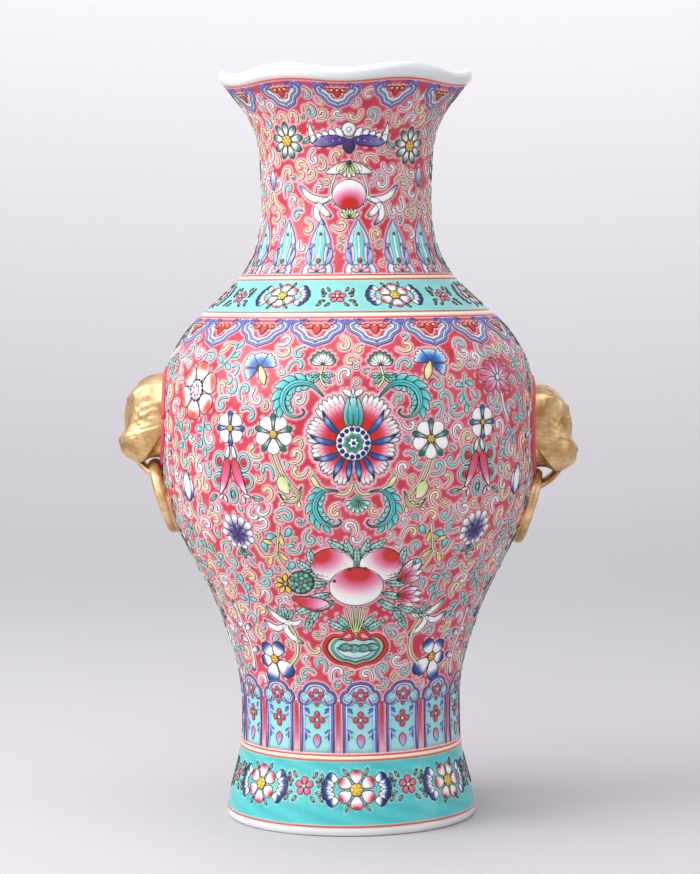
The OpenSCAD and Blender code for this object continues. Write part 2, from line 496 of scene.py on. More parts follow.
class Room:
    """Remembers which squares of the wall are painted already."""

    def __init__(self):
        self.columns = int(2 * math.pi * float(wall.r.max()) / CELL)
        self.rows = int(wall.s[-1] / CELL) + 2
        self.full = np.zeros((self.rows, self.columns), bool)

    def cells(self, theta, s, reach):
        row = (np.asarray(s) / CELL).astype(int)
        col = (np.asarray(theta) / (2 * math.pi) % 1 * self.columns).astype(int)
        r = wall.r_at(s)
        tall = int(math.ceil(reach / CELL))
        wide = int(math.ceil(reach / CELL * float(wall.r.max()) / max(float(np.min(r)), 1)))
        dy, dx = np.mgrid[-tall:tall + 1, -wide:wide + 1]
        mm_x = dx.ravel()[None] * CELL * (r / wall.r.max())[:, None]
        near = mm_x ** 2 + (dy.ravel()[None] * CELL) ** 2 <= (reach + 0.3) ** 2
        rows = np.clip(row[:, None] + dy.ravel()[None], 0, self.rows - 1)
        cols = (col[:, None] + dx.ravel()[None]) % self.columns
        return rows[near], cols[near]

    def take(self, theta, s, reach):
        rows, cols = self.cells(np.ravel(theta), np.ravel(s), reach)
        self.full[rows, cols] = True

    def free(self, theta, s):
        row = np.clip((s / CELL).astype(int), 0, self.rows - 1)
        col = (theta / (2 * math.pi) % 1 * self.columns).astype(int)
        return not self.full[row, col].any()


room = Room()


def leave_pale(spot, pts, reach):
    """Lets the ground pale round these points."""
    theta, s = spot.map(pts)
    trace.append(np.stack((theta, s, np.full(len(s), reach)), -1))
    return theta, s


def note(spot, pts, reach):
    """Keeps scrolls off these points and lets the ground pale round them."""
    theta, s = leave_pale(spot, pts, reach)
    room.take(theta, s, reach + 1.1)


def cover(spot, outline):
    """Keeps scrolls out of the inside of an outline."""
    outline = np.asarray(outline)
    middle = outline.mean(0)
    for part in np.linspace(0.9, 0.0, 7):
        theta, s = spot.map(middle + (outline - middle) * part)
        room.take(theta, s, 1.8)


def ink(spot, pts, width=0.42, top=0.34, low=0.0):
    stroke(relief(f"ink_{spot.sector()}", MAT_INK), spot, pts, width, top, low)


# ---------------------------------------------------------------- materials in use

MAT_WHITE = porcelain("white_glaze")
MAT_GROUND = painted("ground_enamel", 0.07, 0.25)
MAT_PAINT = painted("painted_enamel", 0.05)
MAT_INK = enamel("ink_line", INK)
MAT_CORAL = enamel("coral_line", CORAL)
MAT_CREAM_LINE = enamel("cream_line", rgb(250, 236, 214))
SCROLL_TINTS = {
    "white": rgb(232, 244, 240),
    "turquoise": rgb(130, 216, 208),
    "cream": rgb(248, 228, 160),
    "green": rgb(214, 226, 160),
}
MAT_SCROLL = {k: enamel("scroll_" + k, v) for k, v in SCROLL_TINTS.items()}


# ---------------------------------------------------------------- border bands

def ring_line(name, material, z, width, top=0.35):
    """A painted line right round the vase."""
    s = float(wall.s_at(z))
    steps = 360
    theta = np.linspace(0, 2 * math.pi, steps, endpoint=False)
    across = np.array([0.5, 0.31, -0.31, -0.5]) * width
    quads = grid_faces(steps, 4, True, True)[:, FLIPPED]
    relief(name, material).add(theta[:, None] + 0 * across, s + across + 0 * theta[:, None],
                               np.array([SINK, top, top, SINK]) + 0 * theta[:, None],
                               np.broadcast_to(CREAM, (steps, 4, 3)), quads.tolist(), True)
    trace.append(np.stack((theta, np.full(steps, s), np.full(steps, width / 2)), -1))
    room.take(theta, np.full(steps, s), width / 2 + 1.1)


def double_line(name, z, gap=1.9):
    """Two coral lines with cream between them."""
    ring_line(name + "_cream", MAT_CREAM_LINE, z, gap * 1.6, 0.24)
    ring_line(name + "_coral", MAT_CORAL, z + gap, 1.1)
    ring_line(name + "_coral", MAT_CORAL, z - gap, 1.1)


def around(count, first):
    """Angles of a motif that repeats round the vase."""
    return [first + 360 * k / count for k in range(count)]


# ---------------------------------------------------------------- scrolls that fill the ground

def hook(size, curl, side):
    """A scroll: a line that bends ever tighter into a round head."""
    n = 15
    t = np.linspace(0, 1, n)
    bend = side * (0.25 + curl * t ** 1.6)
    heading = np.cumsum(bend) / n * 2 * math.pi
    step = size / n
    pts = np.cumsum(np.stack((np.cos(heading), np.sin(heading)), -1) * step, axis=0)
    return pts - pts.mean(0)


def scroll(spot, pts, width, tint):
    """One scroll: a dark line under a pale raised one that swells towards its head."""
    n = len(pts)
    t = np.linspace(0, 1, n)
    swell = width * (0.55 + 0.6 * t + 0.4 * np.exp(-((t - 1) / 0.09) ** 2))
    k = spot.sector()
    stroke(relief(f"ink_{k}", MAT_INK), spot, pts, swell + 1.0, 0.16)
    stroke(relief(f"scroll_{tint}_{k}", MAT_SCROLL[tint]), spot, pts, swell, 0.42)
    leave_pale(spot, pts, width * 0.5 + 0.35)


def free_spots(z0, z1, tries):
    """Random spots over a height band, with the same chance everywhere, and a random turn."""
    s0, s1 = float(wall.s_at(z0)), float(wall.s_at(z1))
    for u, v, turn in RNG.random((tries, 3)):
        s = s0 + (s1 - s0) * v
        # a thinner part of the vase has less room round it
        if u * wall.r.max() <= wall.r_at(s):
            theta = math.degrees(2 * math.pi * u * wall.r.max() / wall.r_at(s))
            yield Spot(theta, float(np.interp(s, wall.s, wall.z)), turn * 360)


def fill_sprigs(z0, z1, tries):
    """Sets sprigs where a disc of bare ground is wide enough for one."""
    a = np.radians(np.arange(0, 360, 24))
    test = np.concatenate([np.stack((d * np.cos(a), d * np.sin(a)), -1) for d in (3.0, 6.5, 9.0)])
    for spot in free_spots(z0, z1, tries):
        if room.free(*spot.map(test)):
            sprig(spot)


def fill_scrolls(z0, z1, tries, sizes, tints, clear=0.3):
    """Throws scrolls at the ground, biggest first, wherever there is room for one."""
    s0, s1 = float(wall.s_at(z0)), float(wall.s_at(z1))
    for size in sizes:
        for spot in free_spots(z0, z1, tries):
            curl, side, tint = RNG.random(3)
            pts = hook(size * (1.9 + curl * 0.6), 0.7 + curl * 0.75, 1 if side > 0.5 else -1)
            at, far = spot.map(pts)
            if far.min() < s0 + 0.8 or far.max() > s1 - 0.8 or not room.free(at, far):
                continue
            width = 0.24 * size
            room.take(at, far, width + clear)
            scroll(spot, pts, width, tints[int(tint * len(tints))])


# ---------------------------------------------------------------- ground enamel

def ground_colour(theta, z, gap):
    """Rose or turquoise by height, paler where the ground meets brushwork (gap, in mm), with a painted
    sheen of mint over the shoulder band.
    """
    deep, pale = ROSE, ROSE_PALE
    wander = 0.5 + 0.25 * (np.sin(theta * 9 + z * 0.11) + np.sin(theta * 23 - z * 0.19 + 1.3))
    body = mix(deep, pale, wander * 0.55)
    colour = mix(HALO, body, (gap - 0.15) / 1.35)
    blue = mix(TURQUOISE, TURQUOISE_DEEP, 0.25 + 0.35 * np.sin(theta * 7 + z * 0.3) ** 2)
    # painted sheen: the shoulder band's turquoise is mixed paler towards mint, standing in for the light
    # that falls on it from above
    blue = mix(blue, MINT, np.where(z > SHOULDER_LINE, 0.4, 0.0))
    blue = mix(MINT, blue, (gap + 0.4) / 1.4)
    is_blue = (z < FOOT_LINE) | ((z > SHOULDER_LINE) & (z < NECK_LINE))
    return np.where(is_blue[..., None], blue, colour)


def nearest_gap(theta, s):
    """Distance from points of the wall to the nearest brushwork."""
    marks = np.concatenate(trace)
    places = wall.point(marks[:, 0], marks[:, 1], 0.0)
    tree = kdtree.KDTree(len(places))
    for i, p in enumerate(places):
        tree.insert(p, i)
    tree.balance()
    here = wall.point(theta, s, 0.0)
    gap = np.empty(len(here))
    for i, p in enumerate(here):
        _, j, far = tree.find(p)
        gap[i] = far - marks[j, 2]
    return gap


def ground_piece(name, k, z0, z1, pitch):
    """One sector of the coloured ground: a thin closed shell of enamel over the porcelain."""
    s0, s1 = float(wall.s_at(z0)), float(wall.s_at(z1))
    rows = int((s1 - s0) / pitch) + 1
    widest = float(wall.r_at(np.linspace(s0, s1, 50)).max())
    cols = int(2 * math.pi / SECTORS * widest / pitch) + 1
    theta = np.linspace(k, k + 1, cols) * 2 * math.pi / SECTORS
    s = np.linspace(s0, s1, rows)
    tt, ss = np.meshgrid(theta, s)
    flat_t, flat_s = tt.ravel(), ss.ravel()
    zz = np.interp(flat_s, wall.s, wall.z)
    outer = wall.point(flat_t, flat_s, 0.0)
    inner = wall.point(flat_t, flat_s, -GROUND_T)
    paint = ground_colour(flat_t, zz, nearest_gap(flat_t, flat_s))
    n = rows * cols
    quads = grid_faces(rows, cols)[:, FLIPPED]
    edge = np.concatenate((np.arange(cols), np.arange(1, rows) * cols + cols - 1,
                           (rows - 1) * cols + np.arange(cols - 2, -1, -1),
                           np.arange(rows - 2, -1, -1) * cols))
    rim = np.stack((edge[:-1], edge[:-1] + n, edge[1:] + n, edge[1:]), -1)
    faces = np.concatenate((quads, quads[:, ::-1] + n, rim))
    obj = make_mesh(f"{name}_{k}", np.concatenate((outer, inner)), faces.tolist(), MAT_GROUND,
                    np.concatenate((paint, paint)))
    # true normals, so that no seam shows where two sectors meet
    along = wall.point(flat_t, flat_s + 0.2, 0.0) - wall.point(flat_t, flat_s - 0.2, 0.0)
    round_ = wall.point(flat_t + 0.002, flat_s, 0.0) - wall.point(flat_t - 0.002, flat_s, 0.0)
    square = np.cross(round_, along)
    square /= np.linalg.norm(square, axis=1)[:, None]
    obj.data.normals_split_custom_set_from_vertices(np.concatenate((square, -square)).tolist())
    return obj


# ---------------------------------------------------------------- meshes

def make_mesh(name, points, faces, material, paint=None, smoothed=True):
    """A Blender object from points in millimetres. It rides on the vase's one body."""
    mesh = bpy.data.meshes.new(name)
    mesh.from_pydata((np.asarray(points) * MM).tolist(), [], faces)
    if paint is not None:
        layer = mesh.color_attributes.new("paint", "FLOAT_COLOR", "POINT")
        rgba = np.ones((len(points), 4), np.float32)
        rgba[:, :3] = paint
        layer.data.foreach_set("color", rgba.ravel())
    if smoothed:
        mesh.polygons.foreach_set("use_smooth", np.ones(len(faces), bool))
    mesh.materials.append(material)
    mesh.update()
    obj = bpy.data.objects.new(name, mesh)
    bpy.context.scene.collection.objects.link(obj)
    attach(obj, "root")
    return obj


def build_reliefs():
    """Turns every relief into a Blender object lying on the wall."""
    for name, r in sorted(reliefs.items()):
        points = wall.point(np.concatenate(r.theta), np.concatenate(r.s), np.concatenate(r.h))
        obj = make_mesh(name, points, r.faces, r.material,
                        np.concatenate(r.paint) if r.material == MAT_PAINT else None)


def lathe(name, outline, material, replaced=(), sides=192, wavy=False):
    """A solid of revolution from a closed outline of (radius, height) points."""
    a = np.linspace(0, 2 * math.pi, sides, endpoint=False)
    r, z = np.array(outline).T
    zz = z[None] + (wall.wave(z[None], a[:, None]) if wavy else 0)
    points = np.stack((r[None] * np.sin(a)[:, None], -r[None] * np.cos(a)[:, None],
                       np.broadcast_to(zz, (sides, len(r)))), -1).reshape(-1, 3)
    quads = grid_faces(sides, len(r), True, True)
    obj = make_mesh(name, points, quads.tolist(), material)
    for node in replaced:
        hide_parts(node)
    return obj


def section(name, z0, z1):
    """The porcelain of one thrown section, under its enamel."""
    z = np.arange(z0, z1 + 0.01, (z1 - z0) / math.ceil((z1 - z0) / 2.0))
    s = wall.s_at(z)
    outer = [(float(wall.r_at(v)) - GROUND_T - 0.02, float(h)) for v, h in zip(s, z)]
    lean = np.hypot(1, np.gradient(wall.r_at(s), z))
    inner = [(float(wall.r_at(v)) - WALL * float(c), float(h)) for v, h, c in zip(s, z, lean)][::-1]
    return lathe(name + "_porcelain", outer + inner, MAT_WHITE, (name,))


def porcelain_body():
    """White body: foot with its rim, thrown sections, and the mouth with its rolled lip."""
    for name, above in (("lower_body", "upper_body"), ("upper_body", "neck"), ("neck", "mouth")):
        section(name, JOINT_Z[name], JOINT_Z[above])
    rest_r = node_box("foot")[1][0] - 2.6
    rest_w = 6.5
    z = np.linspace(RIM_Z, JOINT_Z["lower_body"], 20)
    s = wall.s_at(z)
    outer = [(float(wall.r_at(v)) - GROUND_T - 0.02, float(h)) for v, h in zip(s, z)]
    inner = [(float(wall.r_at(v)) - WALL, float(h)) for v, h in zip(s, z) if h > 32]
    seat = node_box("base_floor")
    outline = [(rest_r - rest_w + 0.6, 0), (rest_r - 0.6, 0)]
    outline += [(rest_r + 2.9 * math.cos(a), 4 + 4 * math.sin(a))
                for a in np.radians(np.linspace(-80, 0, 9))]
    outline += outer + inner[::-1]
    outline += [(seat[1][0], seat[1][2]), (seat[1][0], seat[0][2]),
                (seat[1][0] + 0.8, seat[0][2] - 2), (rest_r - rest_w - 1, 3),
                (rest_r - rest_w - 0.3, 0.8)]
    lathe("foot_porcelain", outline, MAT_WHITE, ("foot",))

    lip_r = node_box("mouth")[1][0]
    top = TOP_Z - wall.rise
    z = np.linspace(COLLAR_Z, LIP_Z, 16)
    outer = [(float(wall.r_at(wall.s_at(h))) - GROUND_T, float(h)) for h in z]
    roll = [(lip_r - 1.6, LIP_Z + 1.4), (lip_r - 0.5, LIP_Z + 3.2), (lip_r, LIP_Z + 5.0),
            (lip_r - 0.25, top - 2.2), (lip_r - 1.3, top - 0.7), (lip_r - 3.0, top),
            (lip_r - 4.9, top - 0.5), (lip_r - 6.6, top - 2.1), (lip_r - 8.2, top - 4.4)]
    inner_z = [LIP_Z - 3, LIP_Z - 9, LIP_Z - 16, COLLAR_Z]
    lean = [probe(v, False) for v in inner_z[:-1]]
    inner = [(r, v) for r, v in zip(lean, inner_z)]
    inner.append((float(wall.r_at(wall.s_at(COLLAR_Z))) - WALL * 1.06, COLLAR_Z))
    inner = curve_rz([roll[-1]] + inner)[1:]
    roll = curve_rz([outer[-1]] + roll)[1:]
    lathe("mouth_porcelain", outer + roll + inner, MAT_WHITE, ("mouth",), wavy=True)


def curve_rz(pts):
    return [tuple(p) for p in curve(pts, 0.9)]


# ---------------------------------------------------------------- brush motifs

def shade(stops, edge=None, amount=0.8):
    """Paint that runs along a petal, with another colour at its two sides."""
    def paint(t, w):
        colour = ramp(stops, t)
        return colour if edge is None else mix(colour, edge, amount * np.abs(w) ** 3)
    return paint


def bowed(x, y, angle, length, bend=0.0, n=12):
    """A path from (x, y) that leaves at an angle and turns by bend degrees on its way."""
    heading = np.radians(angle + bend * np.linspace(0, 1, n - 1))
    steps = np.stack((np.cos(heading), np.sin(heading)), -1) * length / (n - 1)
    return np.vstack(([[0, 0]], np.cumsum(steps, axis=0))) + (x, y)


def petal(spot, x, y, angle, length, width, stops, edge=None, belly=0.55, tip=0.7, bend=0.0,
          base=0.12, line=0.5, columns=5):
    """An outlined petal or leaf blade. belly says where along it the petal is widest."""
    path = bowed(x, y, angle, length, bend)
    t = np.linspace(0, 1, len(path))
    half = width / 2 * np.abs(np.sin(math.pi * t ** (math.log(0.5) / math.log(belly)))) ** tip
    outline = blade(spot, path, half, shade(stops, edge), 0.18, base, columns)
    if line:
        ink(spot, closed(outline[::2]), line, base + 0.2, 0)
    note(spot, outline[::3], 0.5)
    cover(spot, outline[::2])
    return path


def dot(spot, x, y, radius, colour, base=0.5, line=0.0, sides=12):
    """A raised bead of enamel."""
    edge = disc(spot, (x, y), radius, plain(colour), 0.22, base, 2, sides)
    if line:
        ink(spot, closed(edge), line, base + 0.16, 0)
    return edge


def blossom(spot, count, r0, length, width, stops, first=90.0, x=0.0, y=0.0, **style):
    """A ring of petals."""
    for k in range(count):
        a = first + 360 * k / count
        px, py = x + r0 * math.cos(math.radians(a)), y + r0 * math.sin(math.radians(a))
        petal(spot, px, py, a, length, width, stops, **style)


def heart(spot, radius, colour, base=0.5):
    """The middle of a flower: a domed disc with seeds on it."""
    dot(spot, 0, 0, radius, colour, base, 0.45, 16)
    for k in range(6):
        a = math.radians(60 * k + 30)
        ink(spot, [(radius * far * math.cos(a), radius * far * math.sin(a)) for far in (0.3, 0.85)],
            0.35, base + 0.34, 0.3)


def leaf(spot, x, y, angle, length, width=0.0, bend=25.0, dark=TEAL, pale=MINT, base=0.14):
    """A leaf with a dark root and hatched veins."""
    width = width or length * 0.4
    path = petal(spot, x, y, angle, length, width, [(0, mix(pale, dark, 0.7)), (0.5, pale), (1, pale)],
                 mix(pale, dark, 0.3), 0.45, 0.85, bend, base)
    ink(spot, path[:-2], 0.4, base + 0.32, 0.1)
    side, along = normals(path)
    for i in range(2, len(path) - 2, 2):
        for turn in (-1, 1):
            tip = path[i] + (side[i] * turn * 0.75 + along[i]) * width * 0.28
            ink(spot, [path[i], (path[i] + tip) / 2, tip], 0.32, base + 0.3, 0.1)


def vine(spot, pts, tint="green", width=1.3):
    """A long stem: a pale line between two dark ones."""
    path = curve(pts, 1.0)
    k = spot.sector()
    stroke(relief(f"ink_{k}", MAT_INK), spot, path, width + 1.0, 0.16)
    stroke(relief(f"scroll_{tint}_{k}", MAT_SCROLL[tint]), spot, path, width, 0.4)
    note(spot, path, width / 2 + 0.2)


def frond(spot, spine, lobes, size, stops, edge):
    """A curled leaf: a body along the spine, pointed lobes outside it and fingers inside."""
    path = curve(spine, 1.0)
    n = len(path)
    side, along = normals(path)
    heading = np.degrees(np.arctan2(along[:, 1], along[:, 0]))
    for f in lobes:
        i = int(f * (n - 1))
        grow = size * (1.5 - 0.7 * abs(f - 0.45) * 2)
        out = path[i] - side[i] * size * 0.1
        petal(spot, *out, heading[i] - 42, grow, grow * 0.5, stops, edge, 0.36, 0.95, 34)
        into = path[i] + side[i] * size * 0.1
        petal(spot, *into, heading[i] + 62, grow * 0.85, grow * 0.36, stops, WHITE, 0.66, 0.7, -50)
    t = np.linspace(0, 1, n)
    half = size * (0.07 + 0.19 * np.sin(np.pi * np.clip(t * 1.15, 0, 1)) ** 1.2)
    outline = blade(spot, path, half, shade(stops, edge), 0.2, 0.3, 5)
    ink(spot, closed(outline[::2]), 0.45, 0.5, 0)
    ink(spot, path, 0.4, 0.68, 0.2)
    note(spot, outline[::2], 0.5)


LEAF_STOPS = run(TURQUOISE_DEEP, TURQUOISE, MINT)


def acanthus(spot, size=7.0):
    frond(spot, [(18, 2), (10, 9), (1, 9.5), (-5, 5), (-6.5, -2), (-3.5, -8), (2.5, -10),
                 (6.8, -7.5), (5.2, -4.8)], (0.18, 0.26, 0.34, 0.42, 0.5, 0.58, 0.66), size,
          LEAF_STOPS, TURQUOISE)


def low_acanthus(spot):
    frond(spot, [(9, 12), (1, 12), (-4, 7), (-5, 0), (-1, -7), (6, -9.5), (10, -7), (8.5, -4.5)],
          (0.2, 0.3, 0.4, 0.5, 0.6, 0.7), 6.0, LEAF_STOPS, TURQUOISE)


def lotus(spot):
    """The big flower: fringed petals, blue sepals and a bead ring round a teal heart."""
    reds = [(0, RED), (0.42, RED), (0.58, mix(RED, PINK, 0.7)), (0.76, mix(PINK, WHITE, 0.6)),
            (0.86, WHITE), (1, WHITE)]
    for angle, half, reach, lobes in ((-70, 10, 26, 3), (-42, 12, 25, 4), (-14, 13, 25.5, 4),
                                      (18, 18, 28.5, 6), (58, 20, 30.5, 6)):
        for mid in (angle, 180 - angle):
            def edge(u):
                return reach * (0.82 + 0.09 * np.sin(np.pi * u) ** 0.5
                                + 0.09 * np.abs(np.sin(np.pi * lobes * u)) ** 0.6)
            outline = fan(spot, mid - half, mid + half, 8.5, edge,
                          lambda u, q: ramp(reds, q), steps=6 * lobes + 1)
            ink(spot, closed(outline), 0.45, 0.36, 0)
            for j in range(1, lobes):
                a = math.radians(mid - half + 2 * half * j / lobes)
                tip = np.array([math.cos(a), math.sin(a)])
                ink(spot, [tip * reach * 0.78, tip * reach * 0.88], 0.34, 0.42, 0.1)
            note(spot, outline, 0.8)
            cover(spot, outline)
    blues = [(0, NAVY), (0.2, mix(NAVY, BLUE, 0.4)), (0.45, BLUE), (0.62, SKY), (0.8, NAVY),
             (1, NAVY)]
    for angle, far, bend in ((34, 18, 40), (0, 18, 34), (-34, 17, 40), (-55, 15, -16),
                             (-79, 14, -10)):
        for mirror in (1, -1):
            a = math.radians(angle)
            petal(spot, mirror * 9 * math.cos(a), 9 * math.sin(a),
                  angle if mirror > 0 else 180 - angle, far, 3.4, blues, NAVY, 0.42, 0.8,
                  bend * mirror, 0.42)
    tulip(spot, 0, 8)
    outline = disc(spot, (0, 0), 10.2, plain(WHITE), 0.2, 0.55, 4, 40)
    ink(spot, closed(outline), 0.5, 0.66, 0)
    for k in range(15):
        a = 2 * math.pi * k / 15
        dot(spot, 8.0 * math.cos(a), 8.0 * math.sin(a), 1.5, NAVY, 0.68)
    for turn in (-1, 1):
        stalk = [(0.8 * turn, -24), (2.5 * turn, -28), (5.5 * turn, -30), (9.5 * turn, -29.6)]
        vine(spot, stalk, "green", 1.4)
        stalk = [(15 * turn, -28), (20 * turn, -25), (25 * turn, -20), (23 * turn, -17)]
        vine(spot, stalk, "green", 1.2)
        petal(spot, 19 * turn, -26, 90 - 60 * turn, 9, 3.4, run(OLIVE, CREAM), OLIVE, bend=50 * turn)
    disc(spot, (0, 0), lambda a: 6.0 + 0.5 * np.sin(8 * a),
         lambda x, y, q: mix(TEAL, mix(TEAL, MINT, 0.4), q ** 4), 0.2, 0.72, 4, 40)
    disc(spot, (0, 0), lambda a: 2.3 + 0.7 * np.cos(6 * a), plain(WHITE), 0.1, 0.94, 2, 24)
    dot(spot, 0, 0, 1.3, NAVY, 1.02)


def tulip(spot, x, y):
    """The teal bud that stands on the lotus, with a white crown."""
    for turn in (-1, 1):
        petal(spot, x + 1.6 * turn, y, 90 - 16 * turn, 19, 5.4,
              run(TEAL, TURQUOISE_DEEP, MINT), MINT, 0.35, 0.8, 26 * turn, 0.46)
        petal(spot, x, y + 18, 90 - 38 * turn, 8, 3.4, run(MINT, WHITE, WHITE),
              bend=-30 * turn, base=0.5)
    petal(spot, x, y, 90, 25, 6.4, [(0, TEAL), (0.4, TURQUOISE_DEEP), (0.75, MINT), (1, WHITE)],
          MINT, 0.3, 0.9, 0, 0.52)


def star_flower(spot, radius, wedge, tint, count=5, middle=YELLOW):
    """Broad white petals with a coloured wedge between each two."""
    white = [(0, mix(WHITE, tint, 0.15)), (0.4, WHITE), (1, WHITE)]
    blossom(spot, count, 1.2, radius - 1.2, radius * 3.6 / count, white, 90 + 180 / count,
            belly=0.7, tip=0.62, line=0.4)
    blossom(spot, count, 1.5, radius - 1.0, radius * wedge,
            [(0, WHITE), (0.4, mix(WHITE, tint, 0.4)), (0.68, tint), (1, tint)], 90, belly=0.78,
            tip=0.7, base=0.3, line=0.35)
    heart(spot, radius * 0.2, middle)


def spray(spot, x, y, angle, count=3, size=5.0, pale=MINT, dark=TEAL):
    """A few leaves from one point."""
    for k in range(count):
        turn = (k - (count - 1) / 2) * 42
        leaf(spot, x, y, angle + turn, size * (1 - 0.12 * abs(turn) / 42), 0, -turn * 0.3, dark, pale)


def bud(spot, stops, count=7, length=9.5, width=4.2, spread=150):
    """A half-open flower seen from the side."""
    order = sorted(range(count), key=lambda k: -abs(k - (count - 1) / 2))
    for i, k in enumerate(order):
        turn = (k / (count - 1) - 0.5) * spread
        petal(spot, 0, 0, 90 - turn, length * (1 - 0.1 * abs(turn) / 75), width, stops, belly=0.6,
              tip=0.85, bend=turn * 0.25, base=0.12 + 0.03 * i)


def blotched(spot):
    """The large open flower: white petals with a red blotch at the tip."""
    ends = [(0, WHITE), (0.48, WHITE), (0.66, CORAL), (0.9, mix(RED, CORAL, 0.5)), (1, RED)]
    blossom(spot, 6, 4.5, 13.5, 13.5, ends, 80, belly=0.64, tip=0.5, edge=mix(WHITE, PINK, 0.4))
    heart(spot, 6, WHITE)
    for k in range(14):
        a = 2 * math.pi * k / 14
        dot(spot, 5.6 * math.cos(a), 6.4 * math.sin(a), 0.75, mix(INK, NAVY, 0.4), 0.7)
    for k in range(7):
        a = 2 * math.pi * k / 7
        dot(spot, 2.7 * math.cos(a), 3.2 * math.sin(a), 0.8, RED, 0.78)


def butterfly(spot):
    """Blue and white fringed petals over a yellow trumpet."""
    sky = [(0, mix(BLUE, NAVY, 0.3)), (0.45, BLUE), (0.75, SKY), (1, WHITE)]
    for mid, half, reach in ((35, 30, 11), (95, 28, 10), (150, 26, 12), (205, 22, 11)):
        outline = fan(spot, mid - half, mid + half, 1.5,
                      lambda u: reach * (0.88 + 0.12 * np.abs(np.sin(np.pi * 4 * u))),
                      lambda u, q: ramp(sky, q), steps=25)
        ink(spot, closed(outline), 0.45, 0.34, 0)
        note(spot, outline[::2], 0.6)
        cover(spot, outline)
    petal(spot, 0, 2, -70, 13, 5, [(0, YELLOW), (0.6, CREAM), (1, OLIVE)], YELLOW, base=0.4)


def lily(spot):
    """A nodding pink flower with a white rim."""
    pinks = [(0, WHITE), (0.25, mix(PINK, WHITE, 0.7)), (0.55, PINK), (0.8, mix(RED, PINK, 0.3)),
             (1, RED)]
    for angle, far in ((168, 19), (128, 14), (92, 13), (52, 14), (14, 16), (-32, 15), (-80, 10),
                       (205, 15)):
        petal(spot, 0, 0, angle, far, 8.5, pinks, mix(PINK, WHITE, 0.4), 0.6, 0.75, 12)
        tip = np.array([math.cos(math.radians(angle + 5)), math.sin(math.radians(angle + 5))])
        ink(spot, [tip * far * 0.15, tip * far * 0.5, tip * far * 0.8], 0.35, 0.5, 0.2)
    dot(spot, 0, 0, 2.0, mix(WHITE, PINK, 0.3), 0.4, 0.4)
    vine(spot, [(1, -9), (3, -18), (7, -26)], "white", 1.2)


def chrysanthemum(spot):
    """A carnation seen from the side: purple, with white fringed tips."""
    violets = [(0, mix(PURPLE, NAVY, 0.5)), (0.4, PURPLE), (0.6, mix(PURPLE, WHITE, 0.45)),
               (0.8, WHITE), (1, WHITE)]
    for k in range(13):
        a = 90 + 360 * k / 13
        far = 10.2 + 2.2 * math.sin(math.radians(a)) + 1.2 * (k % 2)
        petal(spot, math.cos(math.radians(a)), math.sin(math.radians(a)), a, far, 5.2, violets,
              belly=0.74, tip=0.6, line=0.4, base=0.12 + 0.04 * (k % 2))
    blossom(spot, 7, 0.5, 6.5, 3.6, [(0, mix(PURPLE, NAVY, 0.6)), (0.6, PURPLE), (1, LILAC)], 80,
            belly=0.6, base=0.36, line=0.35)
    for k in (-1, 0, 1):
        leaf(spot, 0, -9, -90 + 38 * k, 8, 3, 20 * k)


def fish_pair(spot):
    """Two pink fish over a turquoise knot."""
    for x, y, rx, ry in ((-9, 8, 4, 5), (9, 8, 4, 5), (-10, -3, 4.5, 4), (10, -3, 4.5, 4),
                         (0, -11, 2.8, 5)):
        vine(spot, oval(x, y, rx, ry), "turquoise", 1.5)
        dot(spot, x, y, 1.1, RED if x else TURQUOISE, 0.3)
        ink(spot, closed(oval(x, y, rx * 0.52, ry * 0.52)), 0.4)
    for turn in (-1, 1):
        petal(spot, 2.6 * turn, 11, -90 + 6 * turn, 24, 6.4,
              [(0, RED), (0.3, mix(RED, PINK, 0.35)), (0.65, PINK), (0.9, WHITE), (1, WHITE)],
              mix(RED, PINK, 0.6), 0.35, 0.7, 26 * turn, 0.4)
        for fin in (-1, 1):
            petal(spot, 7.0 * turn, -11, -80 + 30 * turn + 35 * fin, 5.5, 2.4,
                  run(mix(PINK, WHITE, 0.5), WHITE), base=0.44)
        petal(spot, 1.2 * turn, 18, -90 + 14 * turn, 9, 3.2, run(WHITE, MINT), base=0.3)
    leaf(spot, -13, -12, 200, 8)
    leaf(spot, 13, -12, -20, 8)


def tulip_flower(spot):
    """White bud with a blue tip and navy lower petals."""
    for turn in (-1, 1):
        petal(spot, 0, -6, 90 - 34 * turn, 15, 6.4, [(0, NAVY), (0.4, BLUE), (0.7, WHITE), (1, WHITE)],
              None, 0.5, 0.7, 30 * turn)
    petal(spot, 0, -6, 90, 19, 8.5, [(0, SKY), (0.3, WHITE), (0.7, WHITE), (1, BLUE)], None, 0.5, 0.7,
          base=0.3)
    vine(spot, [(0, -7), (1, -13), (5, -18)])


def peach(spot, x, y, rx, ry, cap=(0, 0.75), base=0.3):
    """A peach: white, flushed with pink round a red cap."""
    stops = [(0, RED), (0.5, RED), (0.66, mix(RED, PINK, 0.5)), (1.0, mix(PINK, WHITE, 0.15)),
             (1.4, mix(PINK, WHITE, 0.72)), (1.75, WHITE), (3, WHITE)]

    def skin(px, py, q):
        return ramp(stops, np.hypot(px / rx - cap[0], (py / ry - cap[1]) * 1.1) * 1.15)

    edge = disc(spot, (x, y),
                lambda a: 1 / np.sqrt((np.cos(a) / rx) ** 2 + (np.sin(a) / ry) ** 2), skin,
                0.5, base, 10, 48)
    ink(spot, closed(edge), 0.5, base + 0.14, 0)
    note(spot, edge, 0.7)
    cover(spot, edge)


